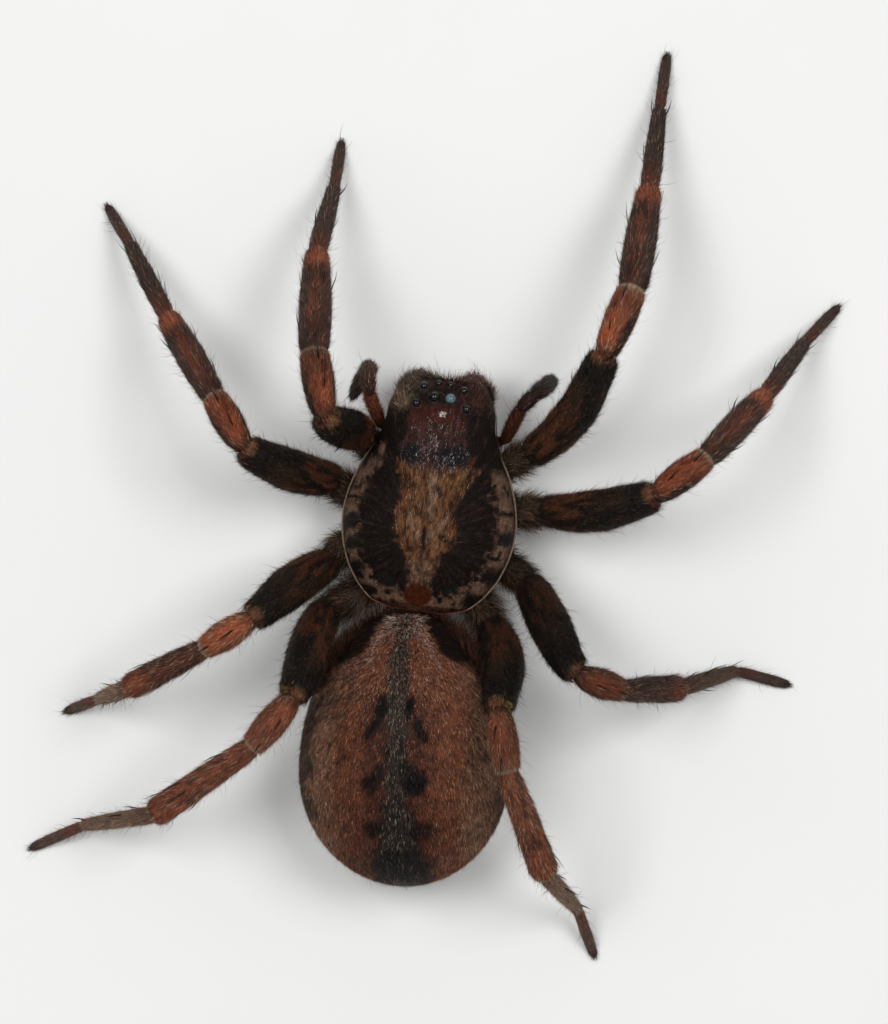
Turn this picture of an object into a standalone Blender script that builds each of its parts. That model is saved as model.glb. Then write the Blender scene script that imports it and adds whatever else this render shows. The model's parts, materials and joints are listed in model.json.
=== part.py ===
"""A large hunting spider standing on a flat floor: head towards -Y, its left side towards +X.

Sizes are in millimetres and scaled once, when a mesh is written. Each leg is one smooth tube along
its own centre line, parted at the joints by thin cuts.
"""
import math

import bmesh
import bpy
from mathutils import Matrix, Vector

MM = 0.001
GAP = 0.08                      # left between pieces that touch

# Front half of the body: the middle of the carapace rim, over the floor
RIM_PLACE = Vector((0.15, 0.20, 2.7))
RIM_TURN = -7.3                 # degrees, seen from above
RIM_ROLL = 2.5                  # degrees, leans towards the animal's left
RIM_THICK = 0.12

# Core between the coxae, from the carapace's place: its ends, half width, top and underside
CORE_BACK = 2.15
CORE_FRONT = -1.95
CORE_HALF_WIDTH = 1.16
CORE_TOP = -0.24
CORE_BOTTOM = -1.10
CORE_CROWN = 0.25               # how far the sternum swells below its ends
LIP = ((-1.5, -1.10), (-2.1, -1.12), (-2.55, -1.05))
LIP_GIRTH = (0.30, 0.28, 0.24)
PEDICEL_HEIGHT = -0.72
PEDICEL_GIRTH = (0.34, 0.28, 0.32)

# Back half: the middle of the abdomen
ABDOMEN_PLACE = Vector((1.02, 8.05, 3.4))
ABDOMEN_TURN = 0.0
ABDOMEN_ROLL = 5.0
ABDOMEN_LENGTH = 9.15
ABDOMEN_WIDTH = 7.1
ABDOMEN_HEIGHT = 5.9
WIDEST_BEHIND_MIDDLE = 0.7
FRONT_DROP = 1.15               # how far the front pole hangs below the middle
REAR_DROP = 0.5

# Spinnerets: a mound in the abdomen's place, and cones on it as x, y, z, girth, length
MOUND_PLACE = (0, 3.50, -2.12)
MOUND_RADIUS = 0.62
SPINNERETS = (
    (0.24, 0.08, -0.21, 0.19, 0.80),
    (0.31, 0.32, 0.03, 0.15, 0.72),
    (0.11, 0.32, -0.12, 0.10, 0.58),
)

# Carapace across its length: y, half width, rim height, top height, squareness of the sides
CARAPACE_SHAPE = (
    (3.25, 0.95, 0.12, 0.35, 1.0),
    (3.05, 1.62, 0.08, 0.75, 1.0),
    (2.60, 2.10, 0.03, 1.20, 1.0),
    (2.00, 2.50, 0.00, 1.60, 1.0),
    (1.20, 2.79, 0.00, 1.95, 1.0),
    (0.30, 2.90, 0.00, 2.12, 1.0),
    (-0.60, 2.77, 0.00, 2.18, 1.0),
    (-1.50, 2.45, 0.05, 2.18, 0.95),
    (-2.20, 2.07, 0.15, 2.18, 0.80),
    (-2.90, 1.87, 0.30, 2.17, 0.65),
    (-3.50, 1.80, 0.45, 2.08, 0.60),
    (-4.00, 1.58, 0.60, 1.82, 0.60),
    (-4.30, 1.30, 0.70, 1.50, 0.65),
    (-4.42, 1.00, 0.80, 1.25, 0.70),
)

# Eyes in the carapace's own place: x, y, radius. The four large ones look up, the rest forward
EYES = {
    "posterior_median": (0.27, -3.80, 0.18),
    "posterior_lateral": (0.83, -3.53, 0.15),
    "anterior_lateral": (0.66, -4.12, 0.14),
    "anterior_median": (0.20, -4.26, 0.11),
}
EYE_SINK = 0.35                 # part of the radius that lies below the carapace

# Right jaw from its top down: x, y, z, half width, half depth; then the line of its folded fang
JAW_SPINE = (
    (0.80, -3.66, 0.60, 0.52, 0.50),
    (0.84, -3.78, 0.38, 0.76, 0.80),
    (0.88, -3.88, 0.05, 0.83, 0.88),
    (0.88, -3.92, -0.35, 0.81, 0.86),
    (0.84, -3.92, -0.80, 0.72, 0.74),
    (0.78, -3.90, -1.20, 0.57, 0.58),
    (0.72, -3.88, -1.48, 0.36, 0.38),
)
FANG_LINE = ((0.86, -3.98, -1.30), (0.72, -3.92, -1.66), (0.46, -3.62, -1.76), (0.22, -3.30, -1.66))
FANG_GIRTH = (0.16, 0.12, 0.05)

# Where each pair grows from the core, its bend at the trochanter, and its five long pieces
PAIRS = {
    1: {"root": (1.34, -1.48), "elbow": (2.10, -1.74), "lengths": (4.93, 2.44, 4.38, 3.28, 2.04)},
    2: {"root": (1.56, -0.40), "elbow": (2.85, -0.38), "lengths": (4.76, 2.18, 3.97, 3.22, 1.99)},
    3: {"root": (1.56, 0.70), "elbow": (2.70, 1.45), "lengths": (5.00, 2.05, 3.27, 2.97, 1.92)},
    4: {"root": (1.28, 1.80), "elbow": (2.02, 2.92), "lengths": (5.14, 2.21, 4.48, 4.08, 2.19)},
}
# Half thickness over the coat along each piece, from its root to its end, for each pair
GIRTH = {
    "coxa": {1: (0.46, 0.58, 0.54), 2: (0.50, 0.63, 0.57), 3: (0.50, 0.63, 0.57), 4: (0.50, 0.62, 0.57)},
    "femur": {1: (0.62, 0.74, 0.63), 2: (0.62, 0.77, 0.62), 3: (0.64, 0.78, 0.60), 4: (0.66, 0.77, 0.62)},
    "patella": {1: (0.52, 0.60, 0.57), 2: (0.48, 0.58, 0.50), 3: (0.47, 0.57, 0.46), 4: (0.50, 0.58, 0.49)},
    "tibia": {1: (0.59, 0.61, 0.48), 2: (0.50, 0.56, 0.47), 3: (0.44, 0.51, 0.52), 4: (0.46, 0.53, 0.57)},
    "metatarsus": {1: (0.39, 0.37, 0.30), 2: (0.36, 0.36, 0.29), 3: (0.34, 0.34, 0.27), 4: (0.36, 0.34, 0.27)},
    "tarsus": {1: (0.23, 0.24, 0.21), 2: (0.23, 0.24, 0.21), 3: (0.22, 0.23, 0.21), 4: (0.22, 0.23, 0.21)},
}
# Each leg: its hip, then the heading of its pieces seen from above and their rise, in degrees.
# The last piece falls as far as it must for its tip to touch the floor
LEGS = {
    "leg_1_right": {"pair": 1, "hip": (-3.10, -2.40), "bow": -0.36,
                    "headings": (-126.5, -112.5, -100.5, -98.0, -98.5), "rises": (38.0, -5.5, -37.5, -33.0)},
    "leg_1_left": {"pair": 1, "hip": (2.65, -2.35), "bow": 0.0,
                   "headings": (-13.5, -81.0, -91.0, -103.5, -98.0), "rises": (76.5, -14.5, -40.0, -45.5)},
    "leg_2_right": {"pair": 2, "hip": (-3.85, -0.55), "bow": -0.22,
                    "headings": (-172.0, -143.5, -134.5, -128.0, -134.0), "rises": (43.5, 7.5, -44.0, -43.5)},
    "leg_2_left": {"pair": 2, "hip": (3.40, -0.70), "bow": 0.15,
                   "headings": (-18.0, -59.5, -59.0, -62.0, -58.5), "rises": (52.0, -17.5, -38.0, -29.5)},
    "leg_3_right": {"pair": 3, "hip": (-3.60, 2.00), "bow": 0.0,
                    "headings": (115.5, 161.5, 180.5, 195.5, 165.0), "rises": (51.0, -32.5, -53.5, -47.5)},
    "leg_3_left": {"pair": 3, "hip": (3.20, 2.10), "bow": -0.10,
                   "headings": (36.5, 32.0, 27.5, 21.5, 21.0), "rises": (54.5, -15.5, -29.0, -67.0)},
    "leg_4_right": {"pair": 4, "hip": (-2.50, 3.55), "bow": 0.30,
                    "headings": (94.0, 98.5, 110.0, 130.0, 109.5), "rises": (60.5, 18.0, -35.5, -64.5)},
    "leg_4_left": {"pair": 4, "hip": (3.10, 3.70), "bow": -0.08,
                   "headings": (71.5, 50.0, 35.0, 11.0, 24.0), "rises": (56.5, -9.0, -26.5, -52.0)},
}
COXA_BELOW_RIM = 0.76
HIP_BELOW_RIM = 0.40
FEMUR_BEFORE_HIP = 0.14         # how far the femur's round root reaches back past the hip
TIP_HEIGHT = 0.11               # of the foot's centre line over the floor, less than its girth
FOOT_PAD = 0.34                 # last stretch of each foot, which lies on the floor
FEMUR_ARCH = 0.12
LEG_SIDES = 10

# Spines on the back of the femora and patellae: share of the piece's length, and degrees round it
SPINES = {
    "femur": ((0.45, 95), (0.72, 60), (0.72, 125), (0.88, 92)),
    "patella": ((0.30, 90), (0.80, 90)),
}
SPINE_LENGTH = 0.86
SPINE_GIRTH = 0.085
SPINE_LIFT = 30                 # degrees off the leg's surface
SPINE_SINK = 0.14
SPINE_SIDES = 5

# Palps, in the carapace's own place
PALP_LENGTHS = (2.1, 0.75, 1.1, 1.9)
PALP_GIRTH = ((0.22, 0.26, 0.25), (0.25, 0.28, 0.27), (0.27, 0.31, 0.28), (0.26, 0.28, 0.17))
PALPS = {
    "palp_right": {"side": -1, "base": (2.10, -2.62), "headings": (-109.0, -128.0, -135.0, -130.0),
                   "rises": (54.0, 30.0, -66.0, -78.0)},
    "palp_left": {"side": 1, "base": (1.98, -2.64), "headings": (-62.0, -82.0, -85.0, 68.0),
                  "rises": (56.0, 42.0, -72.0, -48.0)},
}
PALP_ROOT = (0.62, -2.48)
PALP_ROOT_BELOW_RIM = 0.85
PALP_BASE_BELOW_RIM = 0.30

COLOURS = {
    "carapace": (0.055, 0.032, 0.024),
    "body": (0.085, 0.048, 0.032),
    "abdomen": (0.14, 0.055, 0.040),
    "dark": (0.040, 0.026, 0.020),
    "rusty": (0.22, 0.085, 0.038),
    "foot": (0.075, 0.048, 0.036),
    "eye": (0.008, 0.010, 0.010),
}


def clear_scene():
    for old in list(bpy.data.objects):
        bpy.data.objects.remove(old)


def body_frame(place, turn, roll):
    return (Matrix.Translation(place)
            @ Matrix.Rotation(math.radians(turn), 4, "Z")
            @ Matrix.Rotation(math.radians(roll), 4, "Y"))


def direction(heading, rise):
    heading, rise = math.radians(heading), math.radians(rise)
    level = math.cos(rise)
    return Vector((level * math.cos(heading), level * math.sin(heading), math.sin(rise)))


def through(values, t):
    """Smooth curve through evenly spaced values, t from 0 to 1."""
    spans = len(values) - 1
    place = min(max(t, 0.0), 1.0) * spans
    i = min(int(place), spans - 1)
    f = place - i
    a, b = values[i], values[i + 1]
    before = values[i - 1] if i > 0 else 2 * a - b
    after = values[i + 2] if i + 2 <= spans else 2 * b - a
    return 0.5 * (2 * a + (b - before) * f + (2 * before - 5 * a + 4 * b - after) * f * f
                  + (3 * a - before - 3 * b + after) * f ** 3)


# Meshes

def new_object(name, bm, colour, roughness=0.6):
    bmesh.ops.recalc_face_normals(bm, faces=bm.faces)
    bmesh.ops.scale(bm, vec=(MM, MM, MM), verts=bm.verts)
    mesh = bpy.data.meshes.new(name)
    bm.to_mesh(mesh)
    bm.free()
    mesh.shade_smooth()
    mesh.set_sharp_from_angle(angle=math.radians(50))
    obj = bpy.data.objects.new(name, mesh)
    bpy.context.scene.collection.objects.link(obj)
    material = bpy.data.materials.new(name)
    material.use_nodes = True
    shader = material.node_tree.nodes["Principled BSDF"]
    shader.inputs["Base Color"].default_value = (*COLOURS[colour], 1.0)
    shader.inputs["Roughness"].default_value = roughness
    shader.inputs["Metallic"].default_value = 0.0
    mesh.materials.append(material)
    return obj


def skin_rings(bm, rings):
    """Close a tube over rings of equal count, with a fan of one centre point at each end."""
    loops = [[bm.verts.new(p) for p in ring] for ring in rings]
    for low, high in zip(loops, loops[1:]):
        for i in range(len(low)):
            j = (i + 1) % len(low)
            bm.faces.new((low[i], low[j], high[j], high[i]))
    for loop, turn in ((loops[0], -1), (loops[-1], 1)):
        middle = bm.verts.new(sum((v.co for v in loop), Vector()) / len(loop))
        for i in range(len(loop)):
            j = (i + 1) % len(loop)
            ends = (loop[i], loop[j]) if turn > 0 else (loop[j], loop[i])
            bm.faces.new((*ends, middle))


def keep_largest(mesh):
    """Drop every closed surface but the one with the most corners."""
    bm = bmesh.new()
    bm.from_mesh(mesh)
    left = set(bm.verts)
    shells = []
    while left:
        shell, edge = set(), [left.pop()]
        while edge:
            v = edge.pop()
            shell.add(v)
            near = {e.other_vert(v) for e in v.link_edges} & left
            left -= near
            edge.extend(near)
        shells.append(shell)
    largest = max(shells, key=len)
    bmesh.ops.delete(bm, geom=[v for v in bm.verts if v not in largest], context="VERTS")
    bm.to_mesh(mesh)
    bm.free()


def combine(obj, others, operation):
    """Fuse or cut the other objects, then remove them."""
    group = bpy.data.collections.new(obj.name + "_pieces")
    bpy.context.scene.collection.children.link(group)
    for other in others:
        bpy.context.scene.collection.objects.unlink(other)
        group.objects.link(other)
    modifier = obj.modifiers.new("combine", "BOOLEAN")
    modifier.operation = operation
    modifier.operand_type = "COLLECTION"
    modifier.collection = group
    modifier.solver = "EXACT"
    result = bpy.data.meshes.new_from_object(obj.evaluated_get(bpy.context.evaluated_depsgraph_get()))
    keep_largest(result)
    obj.modifiers.clear()
    obj.data = result
    for other in others:
        bpy.data.objects.remove(other)
    bpy.data.collections.remove(group)
    return obj


# Tubes along a bent centre line

LEAST_REACH = 0.15
REACH_PER_GIRTH = 1.55
REACH_SHARE = 0.48              # of the shorter piece, so that two bends never meet
GAP_PER_TURN = 0.83             # for each radian of a bend


def bend_reach(before, corner, after, girth):
    """How far before a corner the centre line starts to turn, so that the tube never folds."""
    a, b = (corner - before), (after - corner)
    turn = a.angle(b)
    wanted = LEAST_REACH + REACH_PER_GIRTH * girth * math.tan(turn / 2)
    return min(wanted, REACH_SHARE * a.length, REACH_SHARE * b.length)


def centre_line(corners, girths, steps=8):
    """Rounded line through the corners: its points, their distances along it, the corners' too."""
    points, marks = [corners[0]], [0]
    for i in range(1, len(corners) - 1):
        before, corner, after = corners[i - 1], corners[i], corners[i + 1]
        reach = bend_reach(before, corner, after, girths[i])
        start = corner + (before - corner).normalized() * reach
        end = corner + (after - corner).normalized() * reach
        for k in range(steps + 1):
            t = k / steps
            points.append(start.lerp(corner, t).lerp(corner.lerp(end, t), t))
            if k == steps // 2:
                marks.append(len(points) - 1)
    points.append(corners[-1])
    marks.append(len(points) - 1)
    lengths = [0.0]
    for a, b in zip(points, points[1:]):
        lengths.append(lengths[-1] + (b - a).length)
    return points, lengths, [lengths[m] for m in marks]


def line_frames(points):
    """Direction and a sideways axis at each point, carried along without twist."""
    frames = []
    side = None
    for i in range(len(points)):
        a = points[max(i - 1, 0)]
        b = points[min(i + 1, len(points) - 1)]
        ahead = (b - a).normalized()
        if side is None:
            side = ahead.cross(Vector((0, 0, 1))).normalized()
        side = (side - ahead * side.dot(ahead)).normalized()
        frames.append((ahead, side))
    return frames


class CentreLine:
    """A rounded line that gives a ring of points at any distance along it."""

    def __init__(self, corners, girths):
        self.points, self.lengths, self.marks = centre_line(corners, girths)
        self.frames = line_frames(self.points)
        turns = [(b - a).angle(c - b) for a, b, c in zip(corners, corners[1:], corners[2:])]
        self.turns = [0.0, *turns, 0.0]

    def cut(self, corner):
        """Half the gap at a corner, wider where the line turns sharply."""
        return GAP / 2 * (1 + GAP_PER_TURN * self.turns[corner])

    def place(self, distance):
        """Centre, direction, and the sideways and upward axes at a distance."""
        i = 0
        while i < len(self.lengths) - 2 and self.lengths[i + 1] < distance:
            i += 1
        span = self.lengths[i + 1] - self.lengths[i]
        f = (distance - self.lengths[i]) / span
        centre = self.points[i].lerp(self.points[i + 1], f)
        ahead = self.frames[i][0].lerp(self.frames[i + 1][0], f).normalized()
        side = self.frames[i][1].lerp(self.frames[i + 1][1], f)
        side = (side - ahead * side.dot(ahead)).normalized()
        return centre, ahead, side, side.cross(ahead)

    def ring(self, distance, girth, sides):
        centre, _, side, up = self.place(distance)
        turns = [2 * math.pi * k / sides for k in range(sides)]
        return [centre + girth * (math.cos(a) * side + math.sin(a) * up) for a in turns]


# Distance in from a cut or from a tip, and part of the full girth there
END_ROUND = ((0.0, 0.83), (0.12, 0.96))
TIP_ROUND = ((0.16, 0.92), (0.07, 0.72), (0.01, 0.40))


def tube_rings(line, start, end, pieces, sides, tip=False):
    """Rings from start to end. Each piece is (from, to, girths, count of rings)."""
    rings = []
    for inset, part in END_ROUND:
        rings.append(line.ring(start + inset, part * through(pieces[0][2], 0), sides))
    for low, high, girths, count in pieces:
        for k in range(count):
            t = (k + 0.5) / count
            rings.append(line.ring(low + (high - low) * t, through(girths, t), sides))
    last = pieces[-1][2]
    if tip:
        for inset, part in TIP_ROUND:
            rings.append(line.ring(end - inset, part * through(last, 1), sides))
    else:
        for inset, part in reversed(END_ROUND):
            rings.append(line.ring(end - inset, part * through(last, 1), sides))
    return rings


def tube(name, rings, colour, on_floor=False):
    if on_floor:
        rings = [[Vector((p.x, p.y, max(p.z, 0.0))) for p in ring] for ring in rings]
    bm = bmesh.new()
    skin_rings(bm, rings)
    return new_object(name, bm, colour)


# Legs

def leg_corners(frame, leg):
    """Root, trochanter bend, hip, then the bowed femur and the end of each further piece."""
    pair = PAIRS[leg["pair"]]
    side = 1 if leg["hip"][0] > 0 else -1
    root = frame @ Vector((side * pair["root"][0], pair["root"][1], -COXA_BELOW_RIM))
    elbow = frame @ Vector((side * pair["elbow"][0], pair["elbow"][1], -COXA_BELOW_RIM + 0.06))
    hip = frame @ Vector((*leg["hip"], -HIP_BELOW_RIM))
    heading, rise = leg["headings"][0], leg["rises"][0]
    along = direction(heading, rise)
    aside = direction(heading + 90, 0)
    over = direction(heading, rise + 90)
    length = pair["lengths"][0]
    corners = [root, elbow, hip]
    for t in (0.25, 0.55):
        swell = 4 * t * (1 - t)
        corners.append(hip + along * length * t + aside * leg["bow"] * swell + over * FEMUR_ARCH * swell)
    place = hip + along * length
    corners.append(place)
    for length, heading, rise in zip(pair["lengths"][1:4], leg["headings"][1:4], leg["rises"][1:4]):
        place = place + direction(heading, rise) * length
        corners.append(place)
    length = pair["lengths"][4] - FOOT_PAD
    fall = -math.degrees(math.asin((place.z - TIP_HEIGHT) / length))
    place = place + direction(leg["headings"][4], fall) * length
    corners.append(place)
    corners.append(place + direction(leg["headings"][4], 0) * FOOT_PAD)
    return corners


def make_spine(line, distance, turn, girth):
    """One tapered spine, rooted in the leg and leaning towards the leg's tip."""
    centre, ahead, side, up = line.place(distance)
    turn, lift = math.radians(turn), math.radians(SPINE_LIFT)
    out = math.cos(turn) * side + math.sin(turn) * up
    along = math.cos(lift) * ahead + math.sin(lift) * out
    across = along.cross(out).normalized()
    over = across.cross(along)
    root = centre + out * (girth - SPINE_SINK)
    bm = bmesh.new()
    turns = [2 * math.pi * k / SPINE_SIDES for k in range(SPINE_SIDES)]
    base = [bm.verts.new(root + SPINE_GIRTH * (math.cos(a) * across + math.sin(a) * over)) for a in turns]
    tip = bm.verts.new(root + along * SPINE_LENGTH)
    bm.faces.new(base)
    for k in range(SPINE_SIDES):
        bm.faces.new((base[k], base[(k + 1) % SPINE_SIDES], tip))
    return new_object("spine", bm, "dark")


def add_spines(line, part, kind, start, end, girths):
    spines = []
    for share, turn in SPINES[kind]:
        distance = start + (end - start) * share
        spines.append(make_spine(line, distance, turn, through(girths, share)))
    combine(part, spines, "UNION")


def make_leg(frame, name, leg):
    pair = leg["pair"]
    girth = {piece: GIRTH[piece][pair] for piece in GIRTH}
    corners = leg_corners(frame, leg)
    girths = [girth["coxa"][0], girth["coxa"][1], girth["coxa"][2]]
    girths += [girth["femur"][1]] * 2
    girths += [girth["femur"][2], girth["patella"][2], girth["tibia"][2], girth["metatarsus"][2]]
    girths += [girth["tarsus"][2]] * 2
    line = CentreLine(corners, girths)
    root, hip = line.marks[0], line.marks[2] - FEMUR_BEFORE_HIP
    knee, patella_end, tibia_end, metatarsus_end, pad, tip = line.marks[5:11]
    at_hip, at_knee, at_patella_end, at_tibia_end = [line.cut(k) for k in (2, 5, 6, 7)]

    def part(suffix, start, end, pieces, colour, tip=False):
        rings = tube_rings(line, start, end, pieces, LEG_SIDES, tip)
        return tube(name + "_" + suffix, rings, colour, on_floor=tip)

    part("coxa", root, hip - at_hip, [(root + 0.1, hip - 0.2, girth["coxa"], 5)], "body")
    femur = part("femur", hip + at_hip, knee - at_knee, [(hip + 0.2, knee - 0.2, girth["femur"], 9)], "dark")
    add_spines(line, femur, "femur", hip, knee, girth["femur"])
    patella = part("patella", knee + at_knee, patella_end - at_patella_end,
                   [(knee + 0.2, patella_end - 0.15, girth["patella"], 6)], "rusty")
    add_spines(line, patella, "patella", knee, patella_end, girth["patella"])
    part("tibia", patella_end + at_patella_end, tibia_end - at_tibia_end,
         [(patella_end + 0.15, tibia_end - 0.15, girth["tibia"], 7)], "rusty")
    part("foot", tibia_end + at_tibia_end, tip,
         [(tibia_end + 0.15, metatarsus_end - 0.1, girth["metatarsus"], 6),
          (metatarsus_end + 0.1, pad, girth["tarsus"][:2], 5),
          (pad, tip - 0.16, girth["tarsus"][1:], 3)], "foot", tip=True)


# Palps

def make_palp(frame, name, palp):
    side = palp["side"]
    root = frame @ Vector((side * PALP_ROOT[0], PALP_ROOT[1], -PALP_ROOT_BELOW_RIM))
    place = frame @ Vector((side * palp["base"][0], palp["base"][1], -PALP_BASE_BELOW_RIM))
    corners = [root, place]
    for length, heading, rise in zip(PALP_LENGTHS, palp["headings"], palp["rises"]):
        place = place + direction(heading + RIM_TURN, rise) * length
        corners.append(place)
    girths = [0.3, 0.26] + [g[2] for g in PALP_GIRTH]
    line = CentreLine(corners, girths)
    cut = GAP / 2
    start, base, knee, patella_end, tibia_end, tip = line.marks
    lower = [(start + 0.1, base, (0.32, 0.33, 0.22), 4), (base + 0.2, knee - 0.15, PALP_GIRTH[0], 6)]
    tube(name + "_base", tube_rings(line, start, knee - cut, lower, LEG_SIDES), "rusty")
    upper = [(knee + 0.15, patella_end - 0.05, PALP_GIRTH[1], 3),
             (patella_end + 0.05, tibia_end - 0.05, PALP_GIRTH[2], 4),
             (tibia_end + 0.05, tip - 0.2, PALP_GIRTH[3], 5)]
    tube(name + "_end", tube_rings(line, knee + cut, tip, upper, LEG_SIDES, tip=True), "dark")


# Carapace with its eyes

def carapace_at(y):
    """Half width, rim height, top height and squareness of the carapace at y."""
    rows = CARAPACE_SHAPE
    i = 0
    while i < len(rows) - 2 and rows[i + 1][0] > y:
        i += 1
    t = (rows[i][0] - y) / (rows[i][0] - rows[i + 1][0])
    t = min(max(t, 0.0), 1.0)
    return [through([row[k] for row in rows], (i + t) / (len(rows) - 1)) for k in range(1, 5)]


def carapace_top(x, y):
    """Height of the carapace at (x, y), in its own place."""
    half, rim, top, square = carapace_at(y)
    across = min(abs(x) / half, 1.0)
    angle = math.acos(across ** (1 / square))
    return rim + (top - rim) * math.sin(angle) ** square


def carapace_ring(y, over=14, under=6):
    half, rim, top, square = carapace_at(y)
    ring = []
    for k in range(over + 1):
        angle = math.pi * k / over
        c, s = math.cos(angle), math.sin(angle)
        x = half * math.copysign(abs(c) ** square, c)
        ring.append(Vector((x, y, rim + (top - rim) * abs(s) ** square)))
    for k in range(under + 1):
        x = -(half - RIM_THICK) * math.cos(math.pi * k / under)
        ring.append(Vector((x, y, rim - RIM_THICK)))
    return ring


def make_carapace(frame, eyes):
    rows = 30
    front, back = CARAPACE_SHAPE[-1][0], CARAPACE_SHAPE[0][0]
    bm = bmesh.new()
    stations = [0.5 - 0.5 * math.cos(math.pi * k / (rows - 1)) for k in range(rows)]
    rings = [carapace_ring(back + (front - back) * t) for t in stations]
    skin_rings(bm, [[frame @ p for p in ring] for ring in rings])
    carapace = new_object("carapace", bm, "carapace", 0.45)
    sockets = [ball("socket_" + name, centre, radius + GAP / 2, "carapace") for name, centre, radius in eyes]
    combine(carapace, sockets, "DIFFERENCE")


def ball(name, centre, radius, colour, around=12, rows=8):
    bm = bmesh.new()
    bmesh.ops.create_uvsphere(bm, u_segments=around, v_segments=rows, radius=radius,
                              matrix=Matrix.Translation(centre))
    return new_object(name, bm, colour, 0.08)


def eye_places(frame):
    eyes = []
    for kind, (x, y, radius) in EYES.items():
        for side, word in ((-1, "right"), (1, "left")):
            top = carapace_top(x, y)
            centre = frame @ Vector((side * x, y, top - EYE_SINK * radius))
            eyes.append(("eye_" + kind + "_" + word, centre, radius))
    return eyes


# Core with the sternum and lip, and the pedicel

def make_core(frame):
    """The body between the coxae, its underside the sternum and its front the lip."""
    rows, sides, square = 13, 14, 0.7
    rings = []
    for k in range(rows):
        t = k / (rows - 1)
        y = CORE_BACK + (CORE_FRONT - CORE_BACK) * t
        width = CORE_HALF_WIDTH * math.sin(math.pi * (0.06 + 0.80 * t)) ** 0.6
        low = CORE_BOTTOM - CORE_CROWN * math.sin(math.pi * t)
        middle, tall = (low + CORE_TOP) / 2, (CORE_TOP - low) / 2
        ring = []
        for i in range(sides):
            angle = 2 * math.pi * i / sides
            c, s = math.cos(angle), math.sin(angle)
            x = width * math.copysign(abs(c) ** square, c)
            ring.append(frame @ Vector((x, y, middle + tall * math.copysign(abs(s) ** square, s))))
        rings.append(ring)
    bm = bmesh.new()
    skin_rings(bm, rings)
    core = new_object("sternum", bm, "body")
    line = CentreLine([frame @ Vector((0, y, z)) for y, z in LIP], LIP_GIRTH)
    end = line.marks[-1]
    bm = bmesh.new()
    skin_rings(bm, tube_rings(line, 0, end, [(0.1, end - 0.2, LIP_GIRTH, 4)], LEG_SIDES, tip=True))
    combine(core, [new_object("lip", bm, "body")], "UNION")


def make_pedicel(frame, pole):
    start = frame @ Vector((0, CORE_BACK + 2 * GAP, PEDICEL_HEIGHT))
    line = CentreLine([start, start.lerp(pole, 0.5), pole], PEDICEL_GIRTH)
    end = line.marks[-1] - 2 * GAP
    tube("pedicel", tube_rings(line, 0, end, [(0.15, end - 0.15, PEDICEL_GIRTH, 3)], LEG_SIDES), "body")


# Abdomen with its spinnerets

def abdomen_ring(frame, t, grow=0.0, sides=20):
    """Ring at t from -1 (front pole) to 1 (rear pole), grown outwards by grow."""
    centre = WIDEST_BEHIND_MIDDLE
    reach = (ABDOMEN_LENGTH / 2 + centre) if t < 0 else (ABDOMEN_LENGTH / 2 - centre)
    slope = math.sin(abs(t) * math.pi / 2)
    y = centre + math.copysign((reach + grow) * slope, t)
    full = math.cos(t * math.pi / 2)
    drop = -FRONT_DROP * slope ** 3 if t < 0 else -REAR_DROP * slope ** 2
    wide = (ABDOMEN_WIDTH / 2 + grow) * full
    tall = (ABDOMEN_HEIGHT / 2 + grow) * full
    ring = []
    for i in range(sides):
        angle = 2 * math.pi * i / sides
        ring.append(frame @ Vector((wide * math.cos(angle), y, drop + tall * math.sin(angle))))
    return ring


def abdomen_shape(name, frame, grow=0.0, rows=22):
    bm = bmesh.new()
    edge = 0.97
    skin_rings(bm, [abdomen_ring(frame, -edge + 2 * edge * k / (rows - 1), grow) for k in range(rows)])
    return new_object(name, bm, "abdomen")


def make_spinnerets(frame):
    """Three pairs of short cones on one low mound, cut clear of the abdomen."""
    mound = frame @ Vector(MOUND_PLACE)
    spinners = ball("spinnerets", mound, MOUND_RADIUS, "body", 14, 10)
    cones = []
    for x, y, z, girth, length in SPINNERETS:
        for side in (-1, 1):
            start = mound + Vector((side * x, y, z))
            ahead = Vector((side * 0.10, 0.86, -0.50)).normalized()
            corners = [start, start + ahead * length * 0.5, start + ahead * length]
            line = CentreLine(corners, [girth] * 3)
            taper = (girth, girth, girth * 0.7)
            rings = tube_rings(line, 0, length, [(0.1, length - 0.15, taper, 2)], 8, tip=True)
            cones.append(tube("cone", rings, "body"))
    combine(spinners, cones, "UNION")
    combine(spinners, [abdomen_shape("clearance", frame, GAP)], "DIFFERENCE")


# Chelicerae

def make_chelicera(frame, side, word):
    """Stout downward jaw under the carapace's front edge, with its folded fang."""
    sides = 14
    crown = JAW_SPINE[0][2]
    rings = []
    for x, y, z, wide, deep in JAW_SPINE:
        ring = []
        for i in range(sides):
            angle = 2 * math.pi * i / sides
            p = Vector((x + wide * math.cos(angle), y + deep * math.sin(angle), z))
            roof = carapace_at(max(p.y, CARAPACE_SHAPE[-1][0]))[1] - RIM_THICK - GAP
            ring.append(frame @ Vector((side * p.x, p.y, min(p.z, roof - 0.02 * (crown - z)))))
        rings.append(ring)
    bm = bmesh.new()
    skin_rings(bm, rings)
    jaw = new_object("chelicera_" + word, bm, "dark")
    bend = [frame @ Vector((side * x, y, z)) for x, y, z in FANG_LINE]
    line = CentreLine(bend, [FANG_GIRTH[0]] * len(bend))
    end = line.marks[-1]
    bm = bmesh.new()
    skin_rings(bm, tube_rings(line, 0, end, [(0.1, end - 0.2, FANG_GIRTH, 7)], 8, tip=True))
    combine(jaw, [new_object("fang", bm, "dark")], "UNION")


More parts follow.
